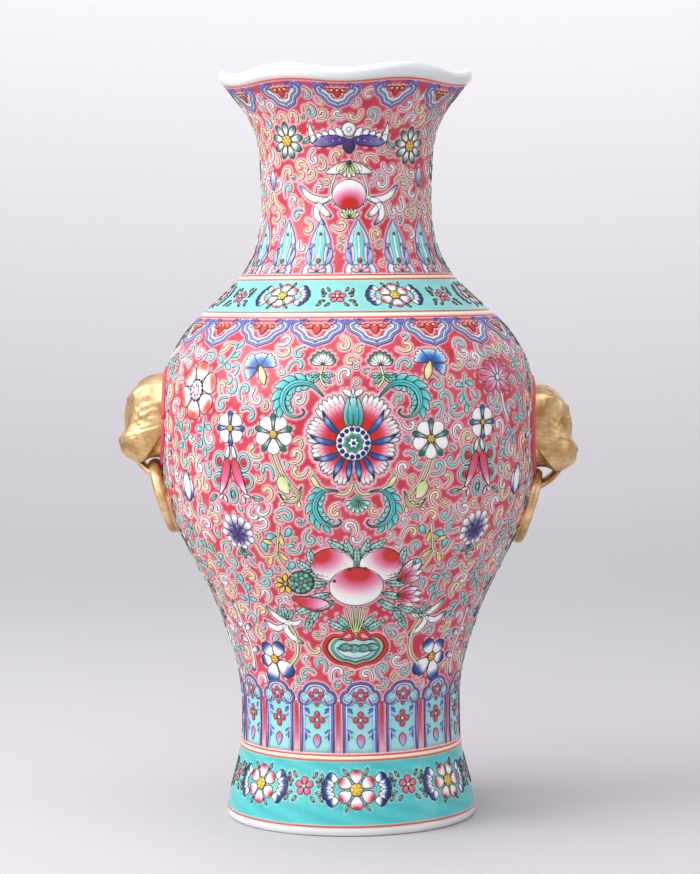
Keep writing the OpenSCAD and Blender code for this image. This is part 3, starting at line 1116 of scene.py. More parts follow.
def fruit_group(spot):
    """Three peaches among leaves, with a pomegranate, a citron and their blossom."""
    for turn in (-1, 1):
        peach(spot, 14.5 * turn, 15, 13, 11.5, (0.55 * turn, 0.6), 0.2)
        for x, y, angle, size in ((2, 19, 62, 15), (5, 24, 24, 15), (24, 13, 62, 15), (26, 10, 30, 13),
                                  (17, 7, 8, 14), (17, 2, -12, 15), (13, 9, 48, 12), (15, -5, -24, 15),
                                  (13, -10, -40, 15), (22, -15, -66, 15), (25, -14, -34, 14),
                                  (27, -20, -84, 12)):
            leaf(spot, x * turn, y, angle if turn > 0 else 180 - angle, size, 5.2, 20 * turn)
    leaf(spot, 0, 14, 90, 14, 4.6, 0)
    peach(spot, 0, 0, 16, 13.5, (0.05, 0.72), 0.5)
    for x, y in ((-4.5, 12.2), (5, 12.6), (-13, 4)):
        dot(spot, x, y, 1.2, mix(RED, INK, 0.8), 0.7, 0, 8)
    # pomegranate and its flower on the left
    scaly(spot, -33, 2.5, 8.2, TEAL, mix(TEAL, MINT, 0.5))
    blossom(spot, 7, 1.2, 6.5, 3.4, run(YELLOW, mix(YELLOW, CORAL, 0.2)), x=-43, y=1, tip=0.9,
            base=0.3)
    petal(spot, -39, -8, -24, 25, 9.5, [(0, RED), (0.35, RED), (0.6, PINK), (1, WHITE)],
          mix(RED, PINK, 0.6), 0.6, 0.6, 24, 0.35)
    # citron: long pale fingers out of a red base
    for angle, far, low in ((52, 18, 3), (34, 20, 3), (18, 18, 3), (4, 15, 3), (14, 15, -7), (-2, 17, -7),
                            (-20, 17, -7), (-42, 14, -7)):
        petal(spot, 24, low, angle, far, 5.6,
              [(0, RED), (0.36, RED), (0.56, PINK), (0.8, WHITE), (1, WHITE)],
              mix(PINK, WHITE, 0.5), 0.55, 0.8, 10, 0.32)


def scaly(spot, x, y, radius, dark, pale):
    """A fruit covered with scales."""
    edge = dot(spot, x, y, radius, dark, 0.3, 0.5, 28)
    note(spot, edge, 0.8)
    cover(spot, edge)
    for ring, count in ((0.72, 11), (0.38, 6), (0.0, 1)):
        for k in range(count):
            a = 2 * math.pi * (k + ring) / count
            px, py = x + ring * radius * math.cos(a), y + ring * radius * math.sin(a)
            dot(spot, px, py, radius * 0.22, pale if k % 2 else mix(dark, pale, 0.4), 0.52, 0.32, 8)


RUYI = [(-4.8, 5.6), (-2.4, 6.4), (-1.9, 9.4), (-4.2, 11.2), (-6.8, 9.4), (-9, 8.0), (-13, 8.6),
        (-17, 5), (-18.4, 0), (-15.6, -5.4), (-11, -9.2), (-5, -10.4), (0, -12.2)]
RUYI_FILL = [(0, 8.6), (-3, 6.8), (-7.6, 6.6), (-12.4, 7.2), (-15.8, 4), (-16.8, 0), (-14.2, -4.8),
             (-10, -8.2), (-5, -9.2), (0, -11)]


def ruyi_head(spot):
    """The red-rimmed cloud head below the peaches, with its stems."""
    half = curve(RUYI, 1.0)
    whole = mirrored(half)
    filling = curve(RUYI_FILL, 1.0)
    filling = np.vstack((filling, (filling * (-1, 1))[::-1][1:-1]))

    def fill(scale, colour, base):
        inner = filling * scale
        radius = np.linalg.norm(inner, axis=1)
        angle = np.arctan2(inner[:, 1], inner[:, 0])
        order = np.argsort(angle)
        edge = disc(spot, (0, 0),
                    lambda a: np.interp(a, angle[order], radius[order], period=2 * np.pi),
                    plain(colour), 0.1, base, 5, 72)
        ink(spot, closed(edge), 0.45, base + 0.16, 0)

    fill(1.0, mix(CREAM, OLIVE, 0.3), 0.14)
    fill(0.88, TURQUOISE, 0.26)
    fill(0.8, mix(TURQUOISE, WHITE, 0.3), 0.34)
    petal(spot, -11.5, 0.5, -24, 23, 8.5, run(WHITE, MINT, WHITE), WHITE, 0.5, 0.7, 44, 0.44)
    for x in (-8, -3, 2.5, 7.5):
        petal(spot, x - 2.5, -1 + abs(x) * 0.12, 20, 9, 5.4,
              run(TEAL, mix(TEAL, MINT, 0.3), MINT), TEAL, 0.5, 0.8, -40, 0.56)
    stroke(paper(spot), spot, whole, 2.7, 0.62, paint=RED)
    ink(spot, whole[14:-14] * 1.085, 0.4, 0.3, 0)
    ink(spot, whole * 0.92, 0.4, 0.6, 0)
    note(spot, whole, 1.6)
    cover(spot, whole)
    for x, far in ((-6, 15), (-2.5, 16), (0, 16), (2.5, 16), (6, 15)):
        vine(spot, [(x * 0.25, 11), (x * 0.6, 17), (x, 11 + far)], "green", 0.9)
    for turn in (-1, 1):
        leaf(spot, 3 * turn, 13, 90 - 50 * turn, 13, 4.4, 20 * turn)
        leaf(spot, 4 * turn, 12, 90 - 76 * turn, 16, 4.4, 30 * turn)


def tipped(spot):
    """Blue-tipped white flower on a curved stem."""
    blue = [(0, WHITE), (0.46, WHITE), (0.66, BLUE), (0.86, NAVY), (1, NAVY)]
    for angle, far, wide in ((60, 12, 9), (125, 11, 9), (190, 10, 8), (250, 16, 10), (320, 14, 11)):
        a = math.radians(angle)
        petal(spot, 1.6 * math.cos(a), 1.6 * math.sin(a), angle, far, wide, blue, belly=0.6, tip=0.55)
    heart(spot, 2.9, mix(YELLOW, CORAL, 0.15))


def ribbon(spot, pts, tip=BLUE):
    """A white band with a dark tip."""
    path = curve(pts, 1.0)
    t = np.linspace(0, 1, len(path))
    half = 0.6 + 1.5 * np.sin(np.pi * t) ** 0.7
    outline = blade(spot, path, half,
                    shade([(0, tip), (0.14, mix(tip, WHITE, 0.4)), (0.26, WHITE), (0.8, WHITE), (1, MINT)]),
                    0.2, 0.16, 5)
    ink(spot, closed(outline[::2]), 0.45, 0.36, 0)
    note(spot, outline[::2], 0.5)


def orchid(spot):
    lilacs = [(0, WHITE), (0.5, mix(WHITE, LILAC, 0.3)), (0.8, PURPLE), (1, mix(PURPLE, NAVY, 0.4))]
    for y, angle in ((14, 110), (7, 200), (2, 30), (-6, 160), (-12, 20), (-17, 250)):
        petal(spot, 0, y, angle, 9, 4.2, lilacs, belly=0.6)
    vine(spot, [(0, 20), (-1, 8), (1, -6), (0, -20)], "white", 1.2)


def sprig(spot):
    """A short curling stem with leaves, to fill a gap between flowers."""
    vine(spot, [(-8, -6), (-3, -3), (2, 2), (3, 8), (-1, 10)], "turquoise", 1.3)
    for x, y, angle, bend in ((-4, -3, 150, -60), (1, 1, -10, 60), (3, 6, 20, 50), (-2, -2, -70, 40)):
        petal(spot, x, y, angle, 7, 3.4, LEAF_STOPS, MINT, 0.6, 0.7, bend)


# ---------------------------------------------------------------- the painted fields

def place(face, motif, *places):
    """Paints a motif at places given as (theta, z), mirrored to the right of the middle."""
    for theta, z in places:
        motif(Spot(face + theta, z, flip=theta > 0))


def shell(spot):
    """Teal fan between the two low acanthus leaves."""
    for k in range(7):
        petal(spot, 0, 3, -90 + (k - 3) * 25, 7.6, 3.4,
              [(0, TEAL), (0.5, mix(TEAL, MINT, 0.3)), (0.75, MINT), (1, WHITE)], MINT, 0.76, 0.6, 0,
              0.12 + 0.03 * k)
    disc(spot, (0, 3), 3.6, lambda x, y, q: mix(TEAL, mix(TEAL, MINT, 0.3), q), 0.15, 0.3)


def water_bud(spot):
    """Half-open white bud with teal tips, on a leafy stem."""
    bud(spot, [(0, WHITE), (0.5, WHITE), (0.8, TEAL), (1, TEAL)])
    vine(spot, [(0, -1), (-1, -8), (2, -13)])
    spray(spot, -1, -6, -20, 2, 9)
    spray(spot, -1, -6, 200, 2, 9)


def stemmed_flower(spot):
    """White flower with teal wedges, two stems and an olive leaf."""
    star_flower(spot, 12, 0.3, TEAL)
    for shift in (-1.6, 1.6):
        vine(spot, [(shift, -12), (5 + shift, -24), (13 + shift, -34)], "green", 1.0)
    petal(spot, 5, -24, -100, 12, 8, run(OLIVE, mix(OLIVE, CREAM, 0.5), CREAM), MINT, 0.4, 0.7, 60)
    frond(spot, [(16, -30), (13, -38), (6, -39), (2, -34)], (0.4, 0.7), 4.6, run(OLIVE, CREAM), CREAM)


def blue_star(spot):
    star_flower(spot, 10, 0.36, mix(BLUE, NAVY, 0.4), 4)


def corner_flower(spot):
    """Blue-tipped flower over the lappets, with a curved stem and leaves."""
    tipped(spot)
    vine(spot, [(10, -4), (17, 4), (19, 16), (16, 26)], "green", 1.7)
    spray(spot, 16, 27, 90, 3, 11)


def bow(spot):
    """Loose ribbon ends beside the cloud head."""
    ribbon(spot, [(-12, 12), (-4, 4), (6, 1), (11, 4)], TEAL)
    ribbon(spot, [(9, -12), (2, -8), (-1, -1), (5, 2)], TEAL)
    ribbon(spot, [(-16, 2), (-8, -3), (0, 0)], NAVY)


def branching_stem(spot):
    """The stem below a chrysanthemum."""
    vine(spot, [(6, 14), (3, 4), (0, -4), (-8, -6), (-12, 2)])
    vine(spot, [(0, -4), (3, -12), (8, -20)])
    for x, y, angle in ((6, 10, -100), (2, -2, -60), (-2, -5, -130), (1, 2, 150)):
        petal(spot, x, y, angle, 8.5, 3.4, run(OLIVE, YELLOW, CREAM), None, 0.6, 0.8, 20)
    for x, y, angle in ((8, 8, 30), (-6, -3, 80), (5, -14, 20), (3, 8, 170)):
        petal(spot, x, y, angle, 7.5, 4.2, LEAF_STOPS, TURQUOISE, 0.6, 0.7, 50)


def paint_body(face):
    middle = face + 2.5
    lotus(Spot(face + 1.5, 237.5))
    place(face, acanthus, (-16, 262.5), (18, 262))
    place(face, low_acanthus, (-7.5, 198), (10.5, 197.5))
    shell(Spot(middle, 201))
    for z in (272.5, 281.5):
        vine(Spot(middle, z), oval(0, 0, 1.6, 1.6), "white", 0.7)
    place(face, water_bud, (-7.5, 282.5), (10, 282))
    place(face, stemmed_flower, (-22, 242.5), (24.5, 239))
    place(face, blue_star, (-36.5, 245.5), (43, 247.5))
    blotched(Spot(face - 51.5, 267))
    lily(Spot(face + 51.5, 273))
    place(face, butterfly, (-27.5, 280.5), (26, 282.5))
    place(face, chrysanthemum, (-37.5, 182.5), (43.5, 183))
    place(face, fish_pair, (-36.5, 217.5), (41.5, 220.5))
    place(face, tulip_flower, (-57.5, 206.5), (61.5, 208.5))
    fruit_group(Spot(middle, 152))
    ruyi_head(Spot(middle, 113))
    place(face, corner_flower, (-38.5, 104.5), (42, 105))
    place(face, bow, (-28, 127), (33, 131))
    place(face, orchid, (-54, 119), (59, 114))
    place(face, branching_stem, (-25, 175), (29, 176))


def paint_side(theta):
    """Vines and flowers round a mask, where the two painted faces meet."""
    for shift, z, radius, tint in ((-9, 296, 7, BLUE), (9, 296, 7, TEAL), (0, 152, 11, BLUE),
                                   (-14, 173, 9, TEAL), (14, 173, 9, TEAL), (0, 118, 9, TEAL)):
        star_flower(Spot(theta + shift, z), radius, 0.34, tint)
    for turn in (-1, 1):
        spot = Spot(theta + 12 * turn, 140, flip=turn > 0)
        vine(spot, [(8, 14), (-2, 10), (-8, 0), (-2, -12), (8, -20)], "turquoise", 1.5)
        spray(spot, -6, 4, 150, 3, 9)
        spray(spot, -4, -10, 220, 3, 9)
        petal(spot, 6, -8, 120, 13, 6, run(RED, PINK, WHITE), PINK, 0.6, 0.7, 30)
        orchid(Spot(theta + 19 * turn, 232, flip=turn > 0))
        leaf(Spot(theta + 17 * turn, 262), 0, 0, 90 + 30 * turn, 14, 5)
        leaf(Spot(theta + 17 * turn, 200), 0, 0, 270 - 30 * turn, 14, 5)


def bat(spot):
    """Bat with its wings spread over the canopy."""
    wing = [(0, mix(PURPLE, NAVY, 0.4)), (0.4, PURPLE), (0.8, mix(PURPLE, LILAC, 0.5)), (1, LILAC)]
    plume = [(0, mix(PURPLE, LILAC, 0.6)), (0.35, WHITE), (1, WHITE)]
    for turn in (-1, 1):
        for k in range(5):
            petal(spot, (4 + 4.2 * k) * turn, 1.5 - 0.5 * k, 90 - 24 * turn, 8.5 - 0.7 * k, 5.2, plume,
                  None, 0.4, 0.8, -8 * turn, 0.12 + 0.02 * k)
        petal(spot, 19 * turn, -1, 90 - 44 * turn, 15, 4.6, plume, None, 0.25, 1.0, 50 * turn, 0.16)
        petal(spot, 0, 0.5, 90 - 86 * turn, 22.5, 7.2, wing, PURPLE, 0.55, 0.55, -14 * turn, 0.3)
        for k in range(4):
            dot(spot, (5.5 + 3.8 * k) * turn, 1.2 - 0.5 * k, 0.75, LILAC, 0.56, 0.3, 8)
    dot(spot, 0, 7.5, 4.4, mix(WHITE, LILAC, 0.1), 0.2, 0.4, 18)
    dot(spot, 0, 7.5, 1.4, WHITE, 0.46, 0.4, 10)
    petal(spot, 0, 2, -90, 9.5, 7.5, [(0, PURPLE), (0.6, mix(PURPLE, INK, 0.7)), (1, INK)], None, 0.5,
          0.7, 0, 0.46)


def canopy(spot):
    """Green and white canopy over the peach, with a tassel on each side."""
    for turn in (-1, 1):
        petal(spot, 0, 5, 90 - 128 * turn, 16, 6, [(0, mix(OLIVE, WHITE, 0.5)), (0.6, WHITE), (1, MINT)],
              OLIVE, 0.4, 0.8, 30 * turn, 0.3)
        vine(spot, [(8 * turn, -2), (11 * turn, -12), (9 * turn, -20)], "white", 0.9)
    for k in range(7):
        petal(spot, 0, 6, -90 + (k - 3) * 17, 11 - 0.4 * abs(k - 3), 3.6,
              [(0, mix(OLIVE, MINT, 0.3)), (0.6, mix(OLIVE, WHITE, 0.4)), (1, WHITE)], OLIVE,
              0.7, 0.7, 0, 0.3)


def offered_peach(spot):
    """Peach on a small leafy stand."""
    peach(spot, 0, 0, 10.2, 9, (0, -0.62), 0.35)
    for k in range(6):
        petal(spot, 0, -14, 90 + (k - 2.5) * 25, 7, 3, run(OLIVE, mix(OLIVE, WHITE, 0.6)), base=0.3)


def streamers(spot):
    """Ribbons at one side of the peach."""
    ribbon(spot, [(31, 6), (24, -1), (15, -3), (9, 0)], BLUE)
    ribbon(spot, [(15, -18), (20, -12), (18, -5), (12, -2)], NAVY)
    ribbon(spot, [(11, -13), (16, -9), (19, -4)], TEAL)


def neck_daisy(spot):
    teal_tips = [(0, WHITE), (0.4, WHITE), (0.62, mix(WHITE, TEAL, 0.7)), (0.8, TEAL), (1, TEAL)]
    blossom(spot, 9, 2.4, 9.5, 4.6, teal_tips, 88, belly=0.62, tip=0.6)
    heart(spot, 3.6, mix(YELLOW, CORAL, 0.1))
    leaf(spot, 11, -2, 20, 8, 3.4)


def neck_bud(spot):
    petal(spot, 0, -6, 95, 13, 6, run(mix(PURPLE, INK, 0.4), LILAC, WHITE), LILAC)
    vine(spot, [(0, -6), (3, -13), (9, -17)])


def paint_neck(face):
    middle = face + 2.0
    bat(Spot(middle, 413.5))
    canopy(Spot(middle, 396.5))
    offered_peach(Spot(middle, 382))
    for flip in (True, False):
        streamers(Spot(middle, 382, flip=flip))
    place(face, neck_daisy, (-40.5, 415), (45.5, 411.5))
    place(face, neck_bud, (-56.5, 391), (56, 392.5))
    star_flower(Spot(face + 86, 400), 9, 0.34, BLUE)


# ---------------------------------------------------------------- repeated borders

PALE_LILAC = mix(LILAC, WHITE, 0.6)


def rings_of(spot, outline, layers):
    """Nested strokes that follow one outline: (distance inwards, width, colour, height)."""
    side, _ = normals(outline)
    for inset, width, colour, top in layers:
        stroke(paper(spot), spot, outline - side * inset, width, top, paint=colour, ends=False)
    ink(spot, outline + side * 0.3, 0.4, 0.22, 0)


def panel(spot, x0, x1, y0, y1, paint, top=0.12):
    """A flat upright strip of enamel."""
    path = np.stack((np.full(12, (x0 + x1) / 2), np.linspace(y0, y1, 12)), -1)
    edge = blade(spot, path, (x1 - x0) / 2, paint, 0.04, top)
    rim = resample(closed(edge), 0.8)
    cover(spot, rim[::2])
    note(spot, rim, 0.3)


def pendant(spot, width, drop):
    """A hanging cloud head: blue and white lines round a red heart."""
    w = width / 2
    half = curve([(w * 0.7, -0.4), (w * 1.0, -drop * 0.2), (w * 0.94, -drop * 0.46),
                  (w * 0.66, -drop * 0.62), (w * 0.5, -drop * 0.82), (w * 0.16, -drop * 0.93),
                  (0, -drop)], 0.9)
    whole = mirrored(half)
    # the outline runs from right to left, so its inner side lies to its right
    rings_of(spot, whole, ((0.5, 1.5, mix(VIOLET, LILAC, 0.2), 0.3), (1.8, 1.4, PALE_LILAC, 0.24),
                           (3.0, 1.3, mix(LILAC, VIOLET, 0.5), 0.28),
                           (4.3, 1.8, mix(MINT, WHITE, 0.4), 0.26)))
    inward, _ = normals(whole)
    for inset in (1.2, 2.4, 3.7):
        ink(spot, whole - inward * inset, 0.3, 0.34, 0)
    for turn in (-1, 1):
        a = np.radians(np.linspace(-100, 170, 12))
        for middle, size, tint in ((0.54, 2.4, mix(VIOLET, NAVY, 0.45)), (0.98, 1.8, VIOLET)):
            curl = np.stack((turn * (w * middle + size * np.cos(a)),
                             -drop * 0.13 + size * 0.85 * np.sin(a)), -1)
            stroke(paper(spot), spot, curl, 1.4, 0.44, paint=tint)
        petal(spot, turn * 1.0, -drop * 0.28, 90 - 96 * turn, w * 0.42, drop * 0.2, run(RED, CORAL),
              RED, base=0.3, line=0.3)
    petal(spot, 0, -drop * 0.2, -90, drop * 0.4, w * 0.36, run(CORAL, RED, RED), RED, 0.4,
          0.8, base=0.34, line=0.35)
    for x in (-0.24, 0, 0.24):
        dot(spot, x * w, -drop * 0.27, 0.6, CREAM, 0.56, 0, 8)
    cover(spot, whole)
    note(spot, whole[::2], 0.4)


def lappet(spot):
    """An upright panel with a cloud head, key-fret sides and pink florets."""
    water = run(mix(TURQUOISE, WHITE, 0.3), mix(TURQUOISE, WHITE, 0.15))
    panel(spot, -9.4, 9.4, 1, 36, shade(water, TURQUOISE, 0.3), 0.1)
    for turn in (-1, 1):
        for x, width, colour in ((9.8, 1.3, VIOLET), (8.3, 1.1, mix(LILAC, WHITE, 0.3))):
            stroke(paper(spot), spot, [(x * turn, 1), (x * turn, 15), (x * turn, 31)], width, 0.3,
                   paint=colour, ends=False)
        ink(spot, [(10.7 * turn, 1), (10.7 * turn, 31)], 0.4, 0.3, 0)
        for y in (10.5, 13.2, 22.5, 25.2):
            key = [(8.6 * turn, y + 1.6), (6.6 * turn, y + 1.2), (5.0 * turn, y)]
            stroke(paper(spot), spot, key, 1.25, 0.32, paint=VIOLET if y in (13.2, 25.2) else LILAC)
            ink(spot, np.array(key) - (0, 0.9), 0.35, 0.3, 0)
        for blot in ([(7.4 * turn, 12.2), (7.2 * turn, 9.0)], [(7.2 * turn, 27.5), (5.6 * turn, 26.8)]):
            stroke(paper(spot), spot, blot, 1.5, 0.36, paint=mix(VIOLET, NAVY, 0.6))
    # the head is a cloud of three lobes whose ends curl inwards
    half = curve([(4.6, 33.0), (5.4, 30.8), (8.2, 29.4), (11.2, 31), (12, 34.4), (10.4, 37.6),
                  (8.0, 38.6), (7.4, 40.4), (4.6, 42.8), (0, 43.8)], 0.8)
    whole = mirrored(half)
    cloud = mix(LILAC, WHITE, 0.3)
    for x, y, r in ((-7.4, 34, 4.8), (7.4, 34, 4.8), (0, 37.2, 6.8)):
        dot(spot, x, y, r, cloud, 0.2, 0.2, 24)
    for x, y, r in ((-7.4, 34.4, 2.9), (7.4, 34.4, 2.9), (0, 37.0, 4.6)):
        dot(spot, x, y, r, mix(TURQUOISE, WHITE, 0.2), 0.26, 0.45, 20)
    rings_of(spot, whole[::-1], ((0.4, 1.3, mix(VIOLET, NAVY, 0.15), 0.42), (1.8, 1.1, PALE_LILAC, 0.4)))
    inward, _ = normals(whole[::-1])
    ink(spot, whole[::-1] - inward * 1.1, 0.3, 0.46, 0)
    ink(spot, whole[::-1] - inward * 2.5, 0.3, 0.46, 0)
    cover(spot, whole)
    note(spot, whole, 0.4)
    for x, y, r in ((0, 38.3, 1.7), (-3, 36.4, 1.6), (3, 36.4, 1.6), (-1.6, 33.6, 1.5), (1.6, 33.6, 1.5),
                    (0, 30, 1.2), (0, 24, 1.9), (-2.9, 20.6, 1.9), (2.9, 20.6, 1.9), (0, 17.2, 1.9),
                    (0, 20.6, 1.0)):
        dot(spot, x, y, r, mix(RED, PINK, 0.35) if r > 1 else CREAM, 0.42, 0.32, 10)
    petal(spot, 0, 12, -90, 8.5, 5, [(0, mix(RED, PINK, 0.4)), (0.4, PINK), (0.6, LILAC), (1, LILAC)],
          LILAC, 0.4, 0.8, base=0.3, line=0.4)
    stripe = [(0, mix(PINK, WHITE, 0.45)), (0.35, mix(PINK, ROSE, 0.4)), (0.7, mix(ROSE, RED, 0.3)),
              (1, ROSE)]
    panel(spot, 11.4, 14.8, 1, 32, shade(stripe, mix(PINK, WHITE, 0.3), 0.7), 0.14)


def spear(spot, height):
    """A pointed turquoise leaf with violet edges."""
    half = curve([(9.6, 0), (9.2, height * 0.14), (5.6, height * 0.3), (5.8, height * 0.46),
                  (7.4, height * 0.6), (4.6, height * 0.8), (0, height)], 0.9)
    whole = mirrored(half)
    path = np.stack((np.zeros(16), np.linspace(0, height * 0.96, 16)), -1)
    wide = np.interp(path[:, 1], half[:, 1], half[:, 0])
    blade(spot, path, wide, shade(run(mix(LILAC, WHITE, 0.4), mix(LILAC, WHITE, 0.7)), WHITE),
          0.08, 0.1, 5)
    blade(spot, path, wide * 0.56, shade([(0, TURQUOISE), (0.7, TURQUOISE), (1, MINT)], MINT),
          0.12, 0.2, 5)
    for turn in (-1, 1):
        ink(spot, np.stack((wide * 0.58 * turn, path[:, 1]), -1), 0.35, 0.3, 0)
    rings_of(spot, whole[::-1], ((0.3, 1.0, mix(VIOLET, LILAC, 0.5), 0.3), (1.4, 0.8, PALE_LILAC, 0.28)))
    rib = [(0, height * 0.25), (0, height * 0.5), (0, height * 0.72)]
    stroke(paper(spot), spot, rib, 1.3, 0.4, paint=WHITE)
    for turn in (-1, 1):
        petal(spot, 5 * turn, height * 0.16, 90 - 26 * turn, 12, 3.8, run(VIOLET, LILAC, SKY),
              LILAC, 0.5, 0.8, 20 * turn, 0.34, 0.35)
        petal(spot, 4.2 * turn, height * 0.56, 90 - 100 * turn, 5, 2.6, run(LILAC, VIOLET), None,
              0.5, 0.8, -60 * turn, 0.34, 0.35)
    dot(spot, 0, height * 0.74, 1.0, RED, 0.5, 0.3, 8)
    for k in range(5):
        petal(spot, 0, 1, 90 + (k - 2) * 36, 6.6, 3.0, [(0, PINK), (0.6, mix(PINK, WHITE, 0.5)), (1, RED)],
              mix(PINK, WHITE, 0.5), 0.6, 0.7, 0, 0.3, 0.35)
    dot(spot, 0, height * 0.26, 1.6, RED, 0.45, 0.3, 10)
    cover(spot, whole)
    note(spot, whole[::2], 0.4)


def band_flower(spot, size, angle=90.0):
    """Border flower: white petals tipped with red, a yellow heart and a wave leaf each side."""
    tipped_red = [(0, WHITE), (0.46, WHITE), (0.64, mix(PINK, WHITE, 0.4)), (0.8, RED), (1, RED)]
    blossom(spot, 6, size * 0.28, size * 0.84, size * 0.74, tipped_red, angle, belly=0.64, tip=0.5,
            edge=mix(WHITE, PINK, 0.4))
    heart(spot, size * 0.36, YELLOW)
    wave = [(0, WHITE), (0.4, WHITE), (0.56, BLUE), (0.72, NAVY), (1, NAVY)]
    for turn in (-1, 1):
        for k in range(5):
            y = (k - 2) * size * 0.42
            x = turn * size * (1.78 - 0.07 * (k - 2) ** 2)
            petal(spot, x - turn * size * 0.5, y * 0.7, 0 if turn > 0 else 180, size * 0.72,
                  size * 0.66, wave, None, 0.6, 0.5, (k - 2) * 10 * turn, 0.16 + 0.02 * (k % 2))
        for angle2 in (60, 120):
            a = angle2 if turn > 0 else angle2 + 180
            way = math.radians(a)
            leaf(spot, size * 0.9 * math.cos(way), size * 0.9 * math.sin(way), a,
                 size * 0.5, 0, 20, mix(INK, WHITE, 0.6), mix(MINT, WHITE, 0.6))


def floret(spot, size):
    """Small pink border flower with sprays of pale leaves on both sides."""
    blossom(spot, 5, 0.8, size - 0.6, size * 0.74,
            run(mix(PINK, WHITE, 0.3), mix(CORAL, PINK, 0.6), mix(RED, PINK, 0.6)), 90,
            belly=0.66, tip=0.5)
    dot(spot, 0, 0, size * 0.2, CREAM, 0.5, 0.3, 8)
    pale, vein = mix(MINT, WHITE, 0.6), mix(INK, WHITE, 0.45)
    for turn in (-1, 1):
        for x, y, angle in ((0.9, 0.85, 50), (1.25, 0.45, 20), (1.5, -0.1, 60), (1.3, -0.6, -20),
                            (0.8, -1.0, -60), (1.75, 0.6, 75), (1.8, -0.9, -70)):
            leaf(spot, x * size * turn, y * size, angle if turn > 0 else 180 - angle, size * 0.82,
                 size * 0.4, 20 * turn, vein, pale)


def paint_borders():
    for theta in around(12, -4):
        spot = Spot(theta, LIP_Z - 1.2, taper=True)
        pendant(spot, 28, 19)
    for theta in around(15, 7.5):
        spear(Spot(theta, NECK_LINE + 2.2, taper=True), 35)
    for k, theta in enumerate(around(7, 21.5)):
        band_flower(Spot(theta, 322, taper=True), 9.2, 90 + 30 * (k % 2))
        floret(Spot(theta + 180 / 7, 321.5, taper=True), 5.2)
    for theta in around(18, 9.5):
        pendant(Spot(theta, SHOULDER_LINE - 2.2, taper=True), 30, 21)
    for theta in around(16, 5):
        lappet(Spot(theta, FOOT_LINE + 2, taper=True))
    for k, theta in enumerate(around(7, 2.5)):
        band_flower(Spot(theta, 27.5), 10.8, 90 + 30 * (k % 2))
        floret(Spot(theta + 180 / 7, 29), 5.8)


# ---------------------------------------------------------------- gilt masks and their rings

MUZZLE_Z = {"left": 234.0, "right": 226.0}
BACK = (109.6, 14.0)      # where a mask closes, inside the wall
MASK_W = 27.0
MASK_PROFILE = [(109.6, 41.8), (114, 41.2), (118.5, 40), (123.1, 38.4), (127.7, 35.8), (131.6, 32.2),
                (134.7, 28), (136.8, 22.6), (137.6, 16.6), (137.3, 10.8), (137.7, 7), (139.3, 4.8),
                (141, 1.8), (141.4, -1.8), (140.2, -5.4), (137.6, -8.4), (134.8, -11), (131.4, -13.4),
                (127.8, -14.4), (124.6, -12.2), (121.4, -10.2), (117.5, -10.4), (114, -13),
                (109.6, -15.6)]
# (y, height over the muzzle, half-widths in y and z, rise), on both cheeks: brow, socket, eye,
# cheek, nostril, its opening, bridge, ear, forehead, corner of the mouth, muzzle pad, chin groove
FEATURES = [(9.5, 25.5, 6, 3.4, 1.7), (10, 19.5, 6, 4.6, -2.2), (10, 19.5, 3.0, 2.6, 3.2),
            (16, 6, 5, 6, 2.2), (5, 0, 2.8, 3.2, 0.8), (4.8, -3.2, 1.3, 1.1, -1.6),
            (0, 13, 3.0, 8, 1.0), (20, 29, 3.6, 5, 4.2), (0, 37, 5.5, 3.6, 0.8),
            (13, -3, 4.5, 1.5, -1.8), (7.5, -8, 5, 4, 1.8), (0, -8, 1.1, 4, -1.4)]


def gold(name):
    """Matt burnished gold leaf with browner hollows and fine brush marks."""
    mat, tree, shader = new_material(name)
    put(shader, Metallic=0.9, Roughness=0.38)
    grade(tree, noise(tree, 70, 5, 0.62), rgb(184, 138, 82), rgb(240, 208, 156), (0.34, 0.62))
    rough_up(tree, noise(tree, 260, 4, stretch=(1, 3.2, 0.6)), 0.5, 0.0006)
    return mat


MAT_GOLD = gold("gilding")


def on_side(name, node, side, points, faces):
    """Places a gilt piece modelled for the right-hand side, mirrored for the left."""
    points = np.array(points, float)
    if side == "left":
        points[:, 0] *= -1
        faces = [f[::-1] for f in faces]
    obj = make_mesh(f"{name}_{side}", points, [tuple(int(v) for v in f) for f in faces], MAT_GOLD)
    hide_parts(f"{node}_{side}")


